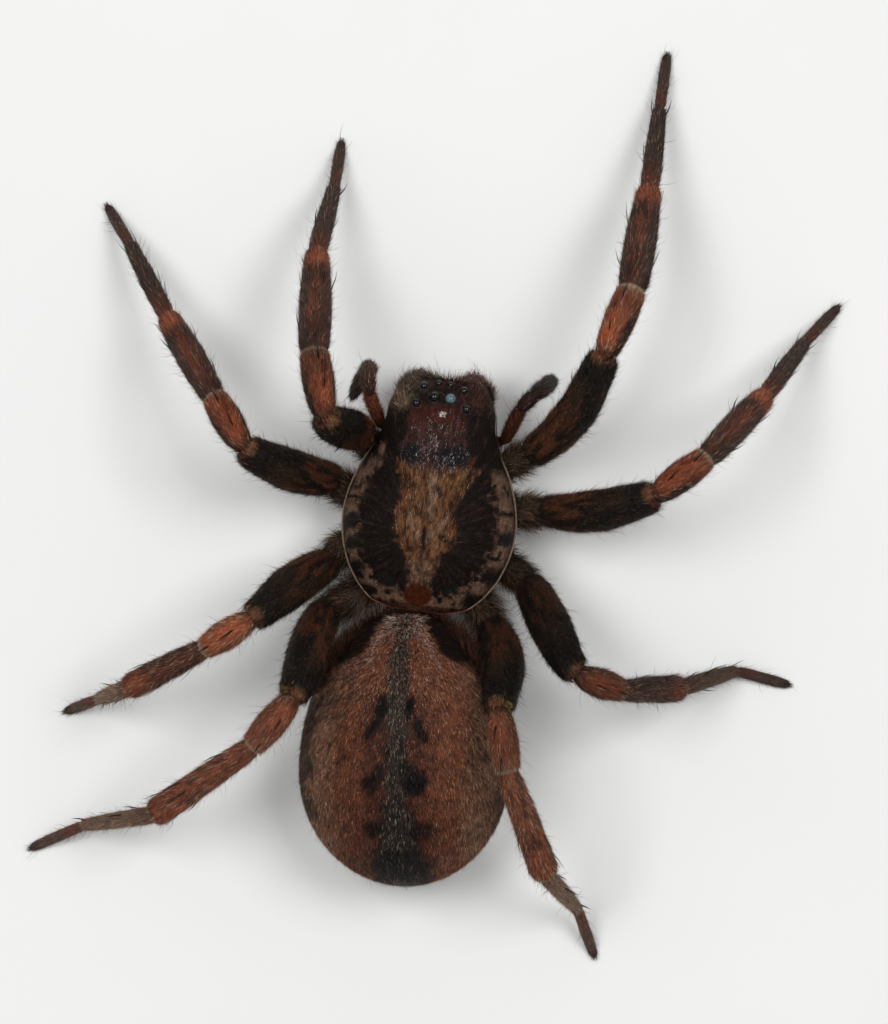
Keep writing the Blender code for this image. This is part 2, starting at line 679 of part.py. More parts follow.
def build():
    clear_scene()
    front = body_frame(RIM_PLACE, RIM_TURN, RIM_ROLL)
    back = body_frame(ABDOMEN_PLACE, ABDOMEN_TURN, ABDOMEN_ROLL)
    eyes = eye_places(front)
    make_carapace(front, eyes)
    for name, centre, radius in eyes:
        ball(name, centre, radius, "eye")
    make_core(front)
    for side, word in ((-1, "right"), (1, "left")):
        make_chelicera(front, side, word)
    for name, palp in PALPS.items():
        make_palp(front, name, palp)
    abdomen_shape("abdomen", back)
    pole = back @ Vector((0, -ABDOMEN_LENGTH / 2, -FRONT_DROP))
    make_pedicel(front, pole)
    make_spinnerets(back)
    for name, leg in LEGS.items():
        make_leg(front, name, leg)


build()
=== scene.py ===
import itertools
import json
import math

import bpy
import numpy as np
from mathutils import Matrix, Vector

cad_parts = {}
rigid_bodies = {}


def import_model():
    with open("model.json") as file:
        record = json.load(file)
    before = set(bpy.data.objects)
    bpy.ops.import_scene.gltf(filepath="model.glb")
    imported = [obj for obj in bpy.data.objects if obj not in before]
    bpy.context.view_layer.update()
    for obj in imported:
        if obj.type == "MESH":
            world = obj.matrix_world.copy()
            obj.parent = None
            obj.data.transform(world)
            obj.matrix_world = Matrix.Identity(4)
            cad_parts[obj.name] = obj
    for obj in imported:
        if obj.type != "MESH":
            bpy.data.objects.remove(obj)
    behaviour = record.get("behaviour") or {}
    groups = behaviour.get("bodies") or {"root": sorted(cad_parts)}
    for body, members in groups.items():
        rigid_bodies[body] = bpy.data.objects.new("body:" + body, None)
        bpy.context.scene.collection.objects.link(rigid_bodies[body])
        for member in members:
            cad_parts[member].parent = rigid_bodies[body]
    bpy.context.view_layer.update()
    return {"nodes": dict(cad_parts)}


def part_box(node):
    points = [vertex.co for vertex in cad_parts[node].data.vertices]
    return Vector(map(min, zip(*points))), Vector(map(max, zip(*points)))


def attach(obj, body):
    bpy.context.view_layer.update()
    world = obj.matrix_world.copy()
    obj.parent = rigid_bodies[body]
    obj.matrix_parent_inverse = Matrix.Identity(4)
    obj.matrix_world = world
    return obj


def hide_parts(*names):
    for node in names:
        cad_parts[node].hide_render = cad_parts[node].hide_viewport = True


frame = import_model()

mm = 0.001                      # shapes below are in millimetres
print("spider: frame loaded,", len(frame["nodes"]), "nodes")


# Numbers and masks

def ink(red, green, blue):
    # colour as seen on a screen, 0 to 255, to the linear values that shaders use
    c = np.array((red, green, blue), float) / 255
    return np.where(c <= 0.04045, c / 12.92, ((c + 0.055) / 1.055) ** 2.4)


def unit(v):
    return v / np.maximum(np.linalg.norm(v, axis=-1, keepdims=True), 1e-12)


def soft(x, low, high):         # smooth step, also downwards when low > high
    t = np.clip((x - low) / (high - low), 0, 1)
    return t * t * (3 - 2 * t)


def band(x, low, high, edge):
    return soft(x, low - edge, low + edge) * (1 - soft(x, high - edge, high + edge))


def spot(x, y, middle, reach, turn=0.0, edge=0.35):  # 1 inside a tilted oval, fading over its edge
    a = math.radians(turn)
    dx, dy = x - middle[0], y - middle[1]
    u = (dx * math.cos(a) + dy * math.sin(a)) / reach[0]
    v = (dy * math.cos(a) - dx * math.sin(a)) / reach[1]
    return 1 - soft(np.sqrt(u * u + v * v), 1 - edge, 1 + edge)


def blendTo(base, colour, mask):
    mask = np.clip(np.asarray(mask, float), 0, 1)[..., None]
    return base * (1 - mask) + np.asarray(colour) * mask


def filled(like, value):        # one value, such as a colour, at each place of an array
    return np.zeros(np.shape(like)) + value


def turns(count):
    return 2 * np.pi * np.arange(count) / count


def through(values, t):         # smooth curve through evenly spaced values
    values = np.asarray(values, float)
    spans = len(values) - 1
    place = np.clip(np.asarray(t, float), 0, 1) * spans
    i = np.minimum(place.astype(int), spans - 1)
    f = place - i
    a, b = values[i], values[i + 1]
    before = np.where(i > 0, values[np.maximum(i - 1, 0)], 2 * a - b)
    after = np.where(i + 2 <= spans, values[np.minimum(i + 2, spans)], 2 * b - a)
    return 0.5 * (2 * a + (b - before) * f + (2 * before - 5 * a + 4 * b - after) * f ** 2
                  + (3 * a - before - 3 * b + after) * f ** 3)


def along(table, t):            # straight lines through (place, value) pairs
    places, values = zip(*table)
    return np.interp(t, places, values)


def cloud(points, size, seed):  # smooth noise from 0 to 1 at places in millimetres
    q = points / size + seed * 17.31
    cell = np.floor(q)
    f = q - cell
    f = f * f * (3 - 2 * f)
    total = np.zeros(points.shape[:-1])
    for corner in itertools.product((0, 1), repeat=3):
        c = cell + corner
        value = np.sin(c @ np.array((12.9898, 78.233, 37.719))) * 43758.5453
        value -= np.floor(value)
        weight = np.prod(np.where(np.array(corner), f, 1 - f), axis=-1)
        total += value * weight
    return total


def direction(heading, rise):
    h, r = math.radians(heading), math.radians(rise)
    return np.array((math.cos(r) * math.cos(h), math.cos(r) * math.sin(h), math.sin(r)))


def bodyPlace(middle, turn, roll):
    m = Matrix.Rotation(math.radians(turn), 3, "Z") @ Matrix.Rotation(math.radians(roll), 3, "Y")
    return np.array(m), np.array(middle, float)


def outOf(place, points):       # from a body part's own place to the floor's
    return np.asarray(points, float) @ place[0].T + place[1]


def into(place, points):
    return (np.asarray(points, float) - place[1]) @ place[0]


# Materials

def newGroup(name, inputs, outputs):
    group = bpy.data.node_groups.new(name, "ShaderNodeTree")
    for label, kind, value in inputs:
        item = group.interface.new_socket(name=label, in_out="INPUT", socket_type=kind)
        if value is not None:
            item.default_value = value
    for label, kind in outputs:
        group.interface.new_socket(name=label, in_out="OUTPUT", socket_type=kind)
    return group, group.nodes.new("NodeGroupInput"), group.nodes.new("NodeGroupOutput")


def addNode(tree, kind, **settings):
    node = tree.nodes.new(kind)
    for key, value in settings.items():
        setattr(node, key, value)
    return node


def makeShellGrain():
    # fine scales and pores of a hard skin: a tone for its colour and a height for its bump
    group, start, end = newGroup("shellGrain", [("Vector", "NodeSocketVector", None),
                                                ("Scale", "NodeSocketFloat", 9000.0),
                                                ("Pores", "NodeSocketFloat", 0.5)],
                                 [("Tone", "NodeSocketFloat"), ("Height", "NodeSocketFloat")])
    noise = addNode(group, "ShaderNodeTexNoise")
    noise.inputs["Detail"].default_value = 4
    noise.inputs["Roughness"].default_value = 0.6
    cells = addNode(group, "ShaderNodeTexVoronoi", feature="F1")
    finer = addNode(group, "ShaderNodeMath", operation="MULTIPLY")
    finer.inputs[1].default_value = 2.6
    tone = addNode(group, "ShaderNodeMapRange")
    tone.inputs["To Min"].default_value = 0.62
    tone.inputs["To Max"].default_value = 1.38
    tone.inputs["From Min"].default_value = 0.25
    tone.inputs["From Max"].default_value = 0.75
    pore = addNode(group, "ShaderNodeMath", operation="MULTIPLY")
    height = addNode(group, "ShaderNodeMath", operation="ADD")
    link = group.links.new
    link(start.outputs["Vector"], noise.inputs["Vector"])
    link(start.outputs["Vector"], cells.inputs["Vector"])
    link(start.outputs["Scale"], noise.inputs["Scale"])
    link(start.outputs["Scale"], finer.inputs[0])
    link(finer.outputs[0], cells.inputs["Scale"])
    link(noise.outputs["Fac"], tone.inputs["Value"])
    link(cells.outputs["Distance"], pore.inputs[0])
    link(start.outputs["Pores"], pore.inputs[1])
    link(noise.outputs["Fac"], height.inputs[0])
    link(pore.outputs[0], height.inputs[1])
    link(tone.outputs["Result"], end.inputs["Tone"])
    link(height.outputs[0], end.inputs["Height"])
    return group


shellGrain = makeShellGrain()


def paintedMaterial(name, scale, pores, bump, roughness, coat=0.0, coatRoughness=0.3, specular=0.5):
    # colour from the piece's own tint, broken up by the grain
    material = bpy.data.materials.new(name)
    material.use_nodes = True
    tree = material.node_tree
    shader = tree.nodes["Principled BSDF"]
    where = addNode(tree, "ShaderNodeTexCoord")
    tint = addNode(tree, "ShaderNodeAttribute", attribute_name="tint")
    grain = addNode(tree, "ShaderNodeGroup", node_tree=shellGrain)
    grain.inputs["Scale"].default_value = scale
    grain.inputs["Pores"].default_value = pores
    colour = addNode(tree, "ShaderNodeVectorMath", operation="SCALE")
    rough = addNode(tree, "ShaderNodeMapRange")
    rough.inputs["To Min"].default_value = roughness[0]
    rough.inputs["To Max"].default_value = roughness[1]
    link = tree.links.new
    link(where.outputs["Object"], grain.inputs["Vector"])
    link(tint.outputs["Vector"], colour.inputs[0])
    link(grain.outputs["Tone"], colour.inputs["Scale"])
    link(colour.outputs["Vector"], shader.inputs["Base Color"])
    link(grain.outputs["Height"], rough.inputs["Value"])
    link(rough.outputs["Result"], shader.inputs["Roughness"])
    if bump:
        relief = addNode(tree, "ShaderNodeBump")
        relief.inputs["Strength"].default_value = 0.6
        relief.inputs["Distance"].default_value = bump * mm
        link(grain.outputs["Height"], relief.inputs["Height"])
        link(relief.outputs["Normal"], shader.inputs["Normal"])
    shader.inputs["Specular IOR Level"].default_value = specular
    shader.inputs["Coat Weight"].default_value = coat
    shader.inputs["Coat Roughness"].default_value = coatRoughness
    return material


materials = {
    "shell": paintedMaterial("hard_shell", 9000, 0.6, 0.012, (0.30, 0.60), specular=0.2),
    "head": paintedMaterial("carapace_shell", 9000, 0.9, 0.020, (0.42, 0.75), specular=0.10),
    "skin": paintedMaterial("soft_skin", 12000, 0.7, 0.014, (0.40, 0.70), specular=0.2),
    "hair": paintedMaterial("body_hair", 14000, 0.2, 0.0, (0.38, 0.60), specular=0.12),
    "darkHair": paintedMaterial("carapace_hair", 14000, 0.2, 0.0, (0.45, 0.70), specular=0.06),
    "bristle": paintedMaterial("dark_bristle", 14000, 0.2, 0.0, (0.30, 0.50), specular=0.2),
    "claw": paintedMaterial("claw_horn", 16000, 0.4, 0.004, (0.15, 0.30)),
    "eye": paintedMaterial("eye_lens", 5000, 0.1, 0.0, (0.05, 0.09), coat=0.35, coatRoughness=0.02,
                           specular=0.25),
}
print("spider: materials ready")


# Meshes

def addMesh(name, points, faces, cornerUv, tint, material, nodes=()):
    # writes one closed piece. faces and cornerUv are lists of arrays with 3 or 4 corners a row
    volume = 0.0
    for group in faces:
        for k in range(1, group.shape[1] - 1):
            a, b, c = points[group[:, 0]], points[group[:, k]], points[group[:, k + 1]]
            volume += np.einsum("ij,ij->i", a, np.cross(b, c)).sum()
    if volume < 0:
        faces = [group[:, ::-1] for group in faces]
        cornerUv = [uv[:, ::-1] for uv in cornerUv]
    corners = np.concatenate([group.ravel() for group in faces]).astype(np.int32)
    sizes = np.concatenate([np.full(len(group), group.shape[1]) for group in faces])
    starts = np.concatenate([[0], np.cumsum(sizes)[:-1]]).astype(np.int32)
    mesh = bpy.data.meshes.new(name)
    mesh.vertices.add(len(points))
    mesh.vertices.foreach_set("co", (points * mm).astype(np.float32).ravel())
    mesh.loops.add(len(corners))
    mesh.loops.foreach_set("vertex_index", corners)
    mesh.polygons.add(len(starts))
    mesh.polygons.foreach_set("loop_start", starts)
    mesh.update(calc_edges=True)
    mesh.polygons.foreach_set("use_smooth", np.ones(len(starts), bool))
    layer = mesh.uv_layers.new(name="OFBake")
    flatUv = np.concatenate([uv.reshape(-1, 2) for uv in cornerUv])
    layer.uv.foreach_set("vector", flatUv.astype(np.float32).ravel())
    store = mesh.attributes.new("tint", "FLOAT_VECTOR", "POINT")
    store.data.foreach_set("vector", np.clip(tint, 0, 1).astype(np.float32).ravel())
    mesh.validate()
    mesh.materials.append(material)
    piece = bpy.data.objects.new(name, mesh)
    bpy.context.scene.collection.objects.link(piece)
    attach(piece, "root")
    if nodes:
        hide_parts(*nodes)
    return piece


def closeRings(rings):
    # points and faces of a tube over rings, each end closed by a fan, with a plain unwrap
    rows, sides = rings.shape[:2]
    points = np.concatenate([rings.reshape(-1, 3), rings[:1].mean(1), rings[-1:].mean(1)])
    i, j = np.meshgrid(np.arange(rows - 1), np.arange(sides), indexing="ij")
    k = (j + 1) % sides
    quads = [i * sides + j, i * sides + k, (i + 1) * sides + k, (i + 1) * sides + j]
    quads = np.stack(quads, -1).reshape(-1, 4)
    reach = np.linalg.norm(np.diff(rings.mean(1), axis=0), axis=1) + 1e-4
    v = np.concatenate([[0], np.cumsum(reach)])
    v = 0.02 + 0.96 * v / v[-1]
    u0, u1 = 0.01 + 0.98 * j / sides, 0.01 + 0.98 * (j + 1) / sides
    v0, v1 = v[i], v[i + 1]
    quadUv = np.stack([u0, v0, u1, v0, u1, v1, u0, v1], -1).reshape(-1, 4, 2)
    j = np.arange(sides)
    k = (j + 1) % sides
    first, last = rows * sides, rows * sides + 1
    low = np.stack([k, j, np.full(sides, first)], -1)
    high = np.stack([(rows - 1) * sides + j, (rows - 1) * sides + k, np.full(sides, last)], -1)
    a, b = 0.01 + 0.98 * j / sides, 0.01 + 0.98 * (j + 1) / sides
    m = (a + b) / 2
    lowUv = np.stack([b, 0 * b + 0.02, a, 0 * a + 0.02, m, 0 * m + 0.005], -1).reshape(-1, 3, 2)
    highUv = np.stack([a, 0 * a + 0.98, b, 0 * b + 0.98, m, 0 * m + 0.995], -1).reshape(-1, 3, 2)
    return points, [quads, np.concatenate([low, high])], [quadUv, np.concatenate([lowUv, highUv])], v


def addSkin(name, rings, tint, material, nodes=()):
    points, faces, uv, _ = closeRings(rings)
    tint = np.concatenate([tint.reshape(-1, 3), tint[:1].mean(1), tint[-1:].mean(1)])
    return addMesh(name, points, faces, uv, tint, materials[material], nodes)


# Hair

def scatter(rings, perArea, rng, weight=None):
    # roots spread over a skin: place, outward normal, both directions along it, row and turn
    nextOver = np.roll(rings, -1, axis=1)
    a, b, c, d = rings[:-1], nextOver[:-1], nextOver[1:], rings[1:]
    area = 0.5 * np.linalg.norm(np.cross(c - a, d - b), axis=-1)
    share = area if weight is None else area * weight
    count = int(share.sum() * perArea)
    steps = np.cumsum(share.ravel())
    pick = np.searchsorted(steps, rng.random(count) * steps[-1])
    pick = np.minimum(pick, steps.size - 1)
    i, j = np.divmod(pick, rings.shape[1])
    f, g = rng.random(count)[:, None], rng.random(count)[:, None]
    pa, pb, pc, pd = a[i, j], b[i, j], c[i, j], d[i, j]
    place = (pa * (1 - f) + pd * f) * (1 - g) + (pb * (1 - f) + pc * f) * g
    ahead = unit((pd - pa) * (1 - g) + (pc - pb) * g)
    around = unit((pb - pa) * (1 - f) + (pc - pd) * f)
    normal = unit(np.cross(around, ahead))
    middle = rings[i].mean(1)
    normal *= np.sign(np.einsum("ij,ij->i", normal, place - middle))[:, None]
    return {"place": place, "normal": normal, "ahead": ahead, "around": around,
            "row": i + f[:, 0], "turn": (j + g[:, 0]) / rings.shape[1]}


mostFaces = 180000              # in one coat piece
skinAboveFloor, hairAboveFloor = 0.012, 0.004
# each hair is darker at its root and lighter at its tip: painted shade where the hairs cover each other,
# painted light on their tips
hairPaintedShade = {"root": 0.35, "middle": 1.0, "tip": 1.40}


def growHair(name, roots, lie, style, tint, rng, reach=None, material="hair"):
    # tapered closed hairs on their roots. style: length, spread, width, lift, sway, droop, bent
    normal = roots["normal"]
    lie = unit(lie - normal * np.einsum("ij,ij->i", lie, normal)[:, None])
    aside = np.cross(normal, lie)
    count = len(lie)
    sway = (np.radians(style["sway"]) * rng.standard_normal(count))[:, None]
    lie = lie * np.cos(sway) + aside * np.sin(sway)
    aside = np.cross(normal, lie)
    lift = np.radians(style["lift"] + style.get("liftSpread", 6) * rng.standard_normal(count))[:, None]
    droop = math.radians(style.get("droop", 12))
    length = style["length"] * (1 + style["spread"] * rng.standard_normal(count).clip(-1.8, 1.8))
    if reach is not None:
        length = length * reach
    length = length.clip(0.04)[:, None]
    half = style["width"] / 2 * (1 + 0.25 * rng.standard_normal(count).clip(-1.5, 1.5))[:, None]
    first = lie * np.cos(lift) + normal * np.sin(lift)
    second = lie * np.cos(lift - droop) + normal * np.sin(lift - droop)
    base = roots["place"] - normal * 0.015
    # a hair that would go through the floor ends on it, and a very short one is left out
    drop = (-(first + second)[:, 2] * length[:, 0] / 2).clip(1e-6)
    room = (base[:, 2] - skinAboveFloor) / drop
    length = length * np.minimum(room, 1)[:, None].clip(0.01)
    keep = room > 0.3
    base, first, second, aside, length, half = [a[keep] for a in (base, first, second, aside, length, half)]
    tint, u, v = tint[keep], roots["turn"][keep], roots["v"][keep]
    count = len(base)
    over = np.cross(first, aside)
    middle = base + first * length * 0.5
    tip = middle + second * length * 0.5
    corners = ((-1.0, -0.35), (1.0, -0.35), (0.0, 0.55))
    bent = style.get("bent")
    layers = [(base, 1.0), (middle, 0.82)] if bent else [(base, 1.0)]
    points = [centre + half * size * (s * aside + t * over) for centre, size in layers for s, t in corners]
    points = np.stack(points + [tip], 1)
    points[..., 2] = np.maximum(points[..., 2], hairAboveFloor)
    each = points.shape[1]
    local = [(0, 1, 2)]
    for k in range(3 if bent else 0):
        p, q = k, (k + 1) % 3
        local += [(p, q + 3, q), (p, p + 3, q + 3)]
    top = 3 if bent else 0
    local += [(top + k, each - 1, top + (k + 1) % 3) for k in range(3)]
    local = np.array(local)
    shade = [hairPaintedShade["root"]] * 3 + ([hairPaintedShade["middle"]] * 3 if bent else []) + [hairPaintedShade["tip"]]
    tints = tint[:, None, :] * np.array(shade)[None, :, None]
    patch = [(-0.0015, -0.0015), (0.0015, -0.0015), (0.0, -0.0008)]
    patch += [(-0.0012, 0.0), (0.0012, 0.0), (0.0, 0.0006)] if bent else []
    patch = np.array(patch + [(0.0, 0.0015)])
    uv = np.stack([0.01 + 0.98 * u, v], -1).clip(0.003, 0.997)[:, None, :] + patch[None]
    perPiece = mostFaces // len(local)
    for number, at in enumerate(range(0, count, perPiece)):
        part = slice(at, min(at + perPiece, count))
        faces = (local[None] + each * np.arange(part.stop - part.start)[:, None, None]).reshape(-1, 3)
        cornerUv = uv[part].reshape(-1, 2)[faces]
        addMesh(f"{name}_{number + 1}", points[part].reshape(-1, 3), [faces], [cornerUv],
                tints[part].reshape(-1, 3), materials[material])


def vary(tint, rng, amount=0.22, glint=0.25):
    # each hair a little lighter or darker than its neighbours, and some painted brighter as if catching the
    # light: painted highlights
    count = len(tint)
    scale = np.exp(amount * rng.standard_normal(count).clip(-2.5, 2.5))
    return tint * (scale * np.where(rng.random(count) < glint, 1.65, 0.80))[:, None]


def rowsV(rings):
    return closeRings(rings)[3]


def rootsOn(rings, perArea, rng, weight=None):
    roots = scatter(rings, perArea, rng, weight)
    roots["v"] = np.interp(roots["row"], np.arange(len(rings)), rowsV(rings))
    return roots


# Bent centre lines, as in the solids

def bentLine(corners, girths, steps=20):
    corners = [np.asarray(c, float) for c in corners]
    points, marks = [corners[0]], [0]
    for i in range(1, len(corners) - 1):
        before, corner, after = corners[i - 1], corners[i], corners[i + 1]
        a, b = corner - before, after - corner
        la, lb = np.linalg.norm(a), np.linalg.norm(b)
        bend = math.acos(np.clip(a @ b / la / lb, -1, 1))
        reach = min(0.15 + 1.55 * girths[i] * math.tan(bend / 2), 0.48 * la, 0.48 * lb)
        start, end = corner - a / la * reach, corner + b / lb * reach
        for k in range(steps + 1):
            t = k / steps
            points.append((start * (1 - t) + corner * t) * (1 - t) + (corner * (1 - t) + end * t) * t)
            if k == steps // 2:
                marks.append(len(points) - 1)
    points.append(corners[-1])
    marks.append(len(points) - 1)
    points = np.array(points)
    lengths = np.concatenate([[0], np.cumsum(np.linalg.norm(np.diff(points, axis=0), axis=1))])
    ahead = np.vstack([points[1:2] - points[:1], points[2:] - points[:-2], points[-1:] - points[-2:-1]])
    ahead = unit(ahead)
    side = np.zeros_like(points)
    side[0] = unit(np.cross(ahead[0], (0, 0, 1)))
    for i in range(1, len(points)):
        side[i] = unit(side[i - 1] - ahead[i] * (side[i - 1] @ ahead[i]))
    return {"points": points, "lengths": lengths, "ahead": ahead, "side": side,
            "marks": [lengths[m] for m in marks]}


def tubeRings(line, s, radius, sides):
    # rings at distances s. radius is one value a row, or a value for each row and side
    centre, ahead, side = [np.stack([np.interp(s, line["lengths"], line[key][:, k]) for k in range(3)], -1)
                           for key in ("points", "ahead", "side")]
    ahead = unit(ahead)
    side = unit(side - ahead * np.einsum("ij,ij->i", side, ahead)[:, None])
    up = np.cross(side, ahead)
    angle = turns(sides)
    radius = np.asarray(radius)
    if radius.ndim == 1:
        radius = np.repeat(radius[:, None], sides, 1)
    ring = (np.cos(angle)[None, :, None] * side[:, None] + np.sin(angle)[None, :, None] * up[:, None])
    return centre[:, None] + radius[..., None] * ring


def eased(count, ends=0.5):     # 0 to 1, closer together near both ends
    t = np.linspace(0, 1, count)
    return (1 - ends) * t + ends * (0.5 - 0.5 * np.cos(np.pi * t))


# Legs

bodyTurn = -7.3
prosoma = bodyPlace((0.15, 0.20, 2.7), bodyTurn, 2.5)

leg = {
    "sides": 40,
    "rowStep": 0.055,
    "tipHeight": 0.11,
    "footPad": 0.34,
    "femurArch": 0.12,
    "coxaBelowRim": 0.76,
    "hipBelowRim": 0.40,
    "femurBeforeHip": 0.14,
    "hairPerArea": 465,
    "jointGap": 0.02,
    "skinTone": 0.4,
}
pieceNames = ("coxa", "femur", "patella", "tibia", "metatarsus", "tarsus")
pairs = {
    1: {"root": (1.34, -1.48), "elbow": (2.10, -1.74), "lengths": (4.93, 2.44, 4.38, 3.28, 2.04)},
    2: {"root": (1.56, -0.40), "elbow": (2.85, -0.38), "lengths": (4.76, 2.18, 3.97, 3.22, 1.99)},
    3: {"root": (1.56, 0.70), "elbow": (2.70, 1.45), "lengths": (5.00, 2.05, 3.27, 2.97, 1.92)},
    4: {"root": (1.28, 1.80), "elbow": (2.02, 2.92), "lengths": (5.14, 2.21, 4.48, 4.08, 2.19)},
}
girths = {                      # half thickness over the coat: root, middle, end
    "coxa": {1: (0.46, 0.58, 0.54), 2: (0.50, 0.63, 0.57), 3: (0.50, 0.63, 0.57), 4: (0.50, 0.62, 0.57)},
    "femur": {1: (0.62, 0.74, 0.63), 2: (0.62, 0.77, 0.62), 3: (0.64, 0.78, 0.60), 4: (0.66, 0.77, 0.62)},
    "patella": {1: (0.52, 0.60, 0.57), 2: (0.48, 0.58, 0.50), 3: (0.47, 0.57, 0.46), 4: (0.50, 0.58, 0.49)},
    "tibia": {1: (0.59, 0.61, 0.48), 2: (0.50, 0.56, 0.47), 3: (0.44, 0.51, 0.52), 4: (0.46, 0.53, 0.57)},
    "metatarsus": {1: (0.39, 0.37, 0.30), 2: (0.36, 0.36, 0.29), 3: (0.34, 0.34, 0.27),
                   4: (0.36, 0.34, 0.27)},
    "tarsus": {1: (0.23, 0.24, 0.21), 2: (0.23, 0.24, 0.21), 3: (0.22, 0.23, 0.21), 4: (0.22, 0.23, 0.21)},
}
# the last numbers of a leg make the whole leg, its patella, its metatarsus or its femur lighter or darker
# than its partner's: painted light and shade
poses = {
    "leg_1_right": {"pair": 1, "hip": (-3.10, -2.40), "bow": -0.36,
                    "headings": (-126.5, -112.5, -100.5, -98.0, -98.5), "rises": (38.0, -5.5, -37.5, -33.0),
                    "glow": 1.10},
    "leg_1_left": {"pair": 1, "hip": (2.65, -2.35), "bow": 0.0,
                   "headings": (-13.5, -81.0, -91.0, -103.5, -98.0), "rises": (76.5, -14.5, -40.0, -45.5),
                   "glow": 0.72},
    "leg_2_right": {"pair": 2, "hip": (-3.85, -0.55), "bow": -0.22,
                    "headings": (-172.0, -143.5, -134.5, -128.0, -134.0), "rises": (43.5, 7.5, -44.0, -43.5),
                    "glow": 0.88},
    "leg_2_left": {"pair": 2, "hip": (3.40, -0.70), "bow": 0.15,
                   "headings": (-18.0, -59.5, -59.0, -62.0, -58.5), "rises": (52.0, -17.5, -38.0, -29.5),
                   "glow": 0.88},
    "leg_3_right": {"pair": 3, "hip": (-3.60, 2.00), "bow": 0.0,
                    "headings": (115.5, 161.5, 180.5, 195.5, 165.0), "rises": (51.0, -32.5, -53.5, -47.5),
                    "tone": 0.54, "metatarsusPaintedLighting": 0.80, "glow": 0.86},
    "leg_3_left": {"pair": 3, "hip": (3.20, 2.10), "bow": -0.10,
                   "headings": (36.5, 32.0, 27.5, 21.5, 21.0), "rises": (54.5, -15.5, -29.0, -67.0),
                   "glow": 1.22},
    "leg_4_right": {"pair": 4, "hip": (-2.50, 3.55), "bow": 0.30,
                    "headings": (94.0, 98.5, 110.0, 130.0, 109.5), "rises": (60.5, 18.0, -35.5, -64.5),
                    "glow": 0.74, "femurPaintedLighting": 0.72},
    "leg_4_left": {"pair": 4, "hip": (3.10, 3.70), "bow": -0.08,
                   "headings": (71.5, 50.0, 35.0, 11.0, 24.0), "rises": (56.5, -9.0, -26.5, -52.0)},
}
coatDepth = {"coxa": 0.08, "femur": 0.10, "patella": 0.09, "tibia": 0.09, "metatarsus": 0.07, "tarsus": 0.05}
pieceForm = {                   # share of the full girth along each piece, with its narrow joints
    "coxa": ((0, 1), (0.38, 1), (0.52, 0.99), (0.57, 0.90), (0.60, 0.84), (0.64, 0.93), (0.72, 1.0),
             (0.9, 0.98), (0.97, 0.90), (1, 0.80)),
    "femur": ((0, 0.74), (0.015, 0.88), (0.05, 0.97), (0.12, 1.0), (0.95, 1.0), (0.98, 0.96), (1, 0.84)),
    "patella": ((0, 0.74), (0.05, 0.86), (0.16, 0.96), (0.6, 1.02), (0.93, 1.0), (0.98, 0.95), (1, 0.86)),
    "tibia": ((0, 0.86), (0.02, 0.93), (0.08, 0.99), (0.5, 1.0), (0.94, 1.0), (0.98, 0.93), (1, 0.78)),
    "metatarsus": ((0, 0.82), (0.03, 0.95), (0.10, 1.0), (0.95, 1.0), (0.985, 0.94), (1, 0.80)),
    "tarsus": ((0, 0.84), (0.06, 1.0), (0.8, 1.0), (0.93, 0.90), (0.98, 0.66), (1, 0.30)),
}


def legCorners(pose):
    pair = pairs[pose["pair"]]
    side = 1 if pose["hip"][0] > 0 else -1
    root = outOf(prosoma, (side * pair["root"][0], pair["root"][1], -leg["coxaBelowRim"]))
    elbow = outOf(prosoma, (side * pair["elbow"][0], pair["elbow"][1], 0.06 - leg["coxaBelowRim"]))
    hip = outOf(prosoma, (*pose["hip"], -leg["hipBelowRim"]))
    heading, rise = pose["headings"][0], pose["rises"][0]
    ahead, over, aside = direction(heading, rise), direction(heading, rise + 90), direction(heading + 90, 0)
    length = pair["lengths"][0]
    corners = [root, elbow, hip]
    for t in (0.25, 0.55):
        swell = 4 * t * (1 - t)
        bowed = hip + ahead * length * t + aside * pose["bow"] * swell
        corners.append(bowed + over * leg["femurArch"] * swell)
    place = hip + ahead * length
    corners.append(place)
    for length, heading, rise in zip(pair["lengths"][1:4], pose["headings"][1:4], pose["rises"][1:4]):
        place = place + direction(heading, rise) * length
        corners.append(place)
    length = pair["lengths"][4] - leg["footPad"]
    fall = -math.degrees(math.asin((place[2] - leg["tipHeight"]) / length))
    place = place + direction(pose["headings"][4], fall) * length
    return corners + [place, place + direction(pose["headings"][4], 0) * leg["footPad"]]


legInk = {
    "black": ink(35, 27, 21), "brown": ink(78, 52, 36), "femurRed": ink(108, 62, 40),
    "olive": ink(106, 88, 60), "rust": ink(174, 94, 64), "rustDark": ink(120, 70, 54),
    "gold": ink(214, 172, 136), "orange": ink(196, 96, 58), "grey": ink(88, 68, 60),
    "greyBrown": ink(160, 126, 102), "paleEdge": ink(218, 184, 154), "yellow": ink(128, 116, 56),
    "coxaDark": ink(50, 36, 28), "coxa": ink(76, 56, 42), "membrane": ink(140, 130, 132),
    "trochanter": ink(92, 72, 50), "knee": ink(190, 138, 92), "coxaFuzz": ink(122, 92, 74),
}


